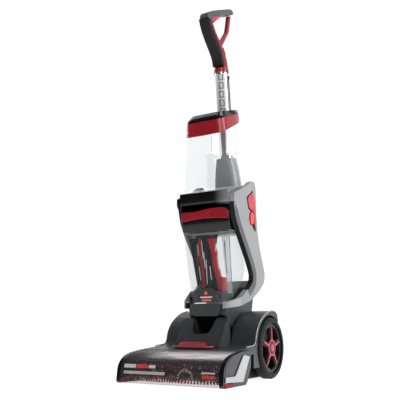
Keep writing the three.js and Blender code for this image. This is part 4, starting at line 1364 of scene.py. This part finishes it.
# ------------------------------------------------------------------ studio
@dataclass
class Studio:
    """Floor, backdrop, lights and camera."""

    camera: Place = (0.81248, -1.43002, 0.14361)
    azimuth: float = math.radians(30.29)
    elevation: float = math.radians(-11.68)
    lens: float = 54.0

    def build(self) -> None:
        """Sets the whole stage."""
        self.build_floor()
        self.build_world()
        self.build_lights()
        self.build_camera()

    def build_floor(self) -> None:
        """A wide pale floor."""
        graph = Graph("pale_floor")
        place = graph.place()
        speck = graph.noise(place, 3.0, 2.0)
        material = graph.done(
            graph.principled(
                Base_Color=graph.mixed(speck, (0.68, 0.68, 0.68), (0.72, 0.72, 0.72)),
                Roughness=0.9,
                Emission_Color=(1.0, 1.0, 1.0, 1.0),
                Emission_Strength=0.82,
                Specular_IOR_Level=0.0,
            )
        )
        bm = bmesh.new()
        bmesh.ops.create_circle(bm, cap_ends=True, segments=96, radius=30.0)
        mesh = bpy.data.meshes.new("studio_floor")
        bm.to_mesh(mesh)
        bm.free()
        mesh.materials.append(material)
        floor = bpy.data.objects.new("studio_floor", mesh)
        bpy.context.scene.collection.objects.link(floor)
        floor.location.z = -0.0004

    def build_world(self) -> None:
        """A white studio behind the machine that falls off to grey behind the camera."""
        world = bpy.data.worlds.new("studio_world")
        bpy.context.scene.world = world
        world.use_nodes = True
        nodes, links = world.node_tree.nodes, world.node_tree.links
        coordinates = nodes.new("ShaderNodeTexCoord")
        away = nodes.new("ShaderNodeVectorMath")
        away.operation = "DOT_PRODUCT"
        away.inputs[1].default_value = (-math.sin(self.azimuth), math.cos(self.azimuth), 0.0)
        links.new(coordinates.outputs["Generated"], away.inputs[0])
        level = nodes.new("ShaderNodeMapRange")
        level.interpolation_type = "SMOOTHSTEP"
        for key, value in (("From Min", 0.2), ("From Max", 0.78), ("To Min", 0.1), ("To Max", 1.03)):
            level.inputs[key].default_value = value
        links.new(away.outputs["Value"], level.inputs["Value"])
        links.new(level.outputs[0], nodes["Background"].inputs["Strength"])
        nodes["Background"].inputs["Color"].default_value = (1.0, 1.0, 1.0, 1.0)

    def build_lights(self) -> None:
        """Four soft boxes."""
        boxes = (
            ("right_box", (2.4, 0.5, 1.2), (1.4, 2.0), 52.0),
            ("left_strip", (-2.2, 0.2, 1.0), (0.3, 1.6), 12.0),
            ("camera_fill", (1.3, -2.2, 1.9), (0.9, 0.9), 20.0),
            ("top_box", (0.1, 0.4, 2.9), (1.2, 1.2), 14.0),
        )
        for name, place, (width, height), power in boxes:
            data = bpy.data.lights.new(name, "AREA")
            data.shape = "RECTANGLE"
            data.size, data.size_y = width, height
            data.energy = power
            lamp = bpy.data.objects.new(name, data)
            lamp.location = place
            lamp.rotation_euler = (Vector((0, 0, 0.5)) - Vector(place)).to_track_quat("-Z", "Y").to_euler()
            bpy.context.scene.collection.objects.link(lamp)

    def build_camera(self) -> None:
        """The camera, low and to the right of the front."""
        data = bpy.data.cameras.new("studio_camera")
        data.lens = self.lens
        data.sensor_width = 36.0
        made = bpy.data.objects.new("studio_camera", data)
        made.location = self.camera
        ahead = Vector(
            (
                -math.sin(self.azimuth) * math.cos(self.elevation),
                math.cos(self.azimuth) * math.cos(self.elevation),
                -math.sin(self.elevation),
            )
        )
        made.rotation_euler = ahead.to_track_quat("-Z", "Y").to_euler()
        bpy.context.scene.collection.objects.link(made)
        bpy.context.scene.camera = made
        bpy.context.scene.view_settings.view_transform = "Standard"


def main() -> None:
    """Builds the studio and every sub-assembly in order."""
    logging.basicConfig(level=logging.INFO, format="%(name)s: %(message)s")
    Studio().build()
    for assembly in (Foot(), Wheel(Side.RIGHT), Wheel(Side.LEFT), Upright(), CleanTank(), DirtyTank(), Handle()):
        assembly.build()
        if hasattr(assembly, "dress"):
            assembly.dress()
        log.info("%s is built", type(assembly).__name__)
    bpy.context.view_layer.update()


if __name__ == "__main__":
    main()
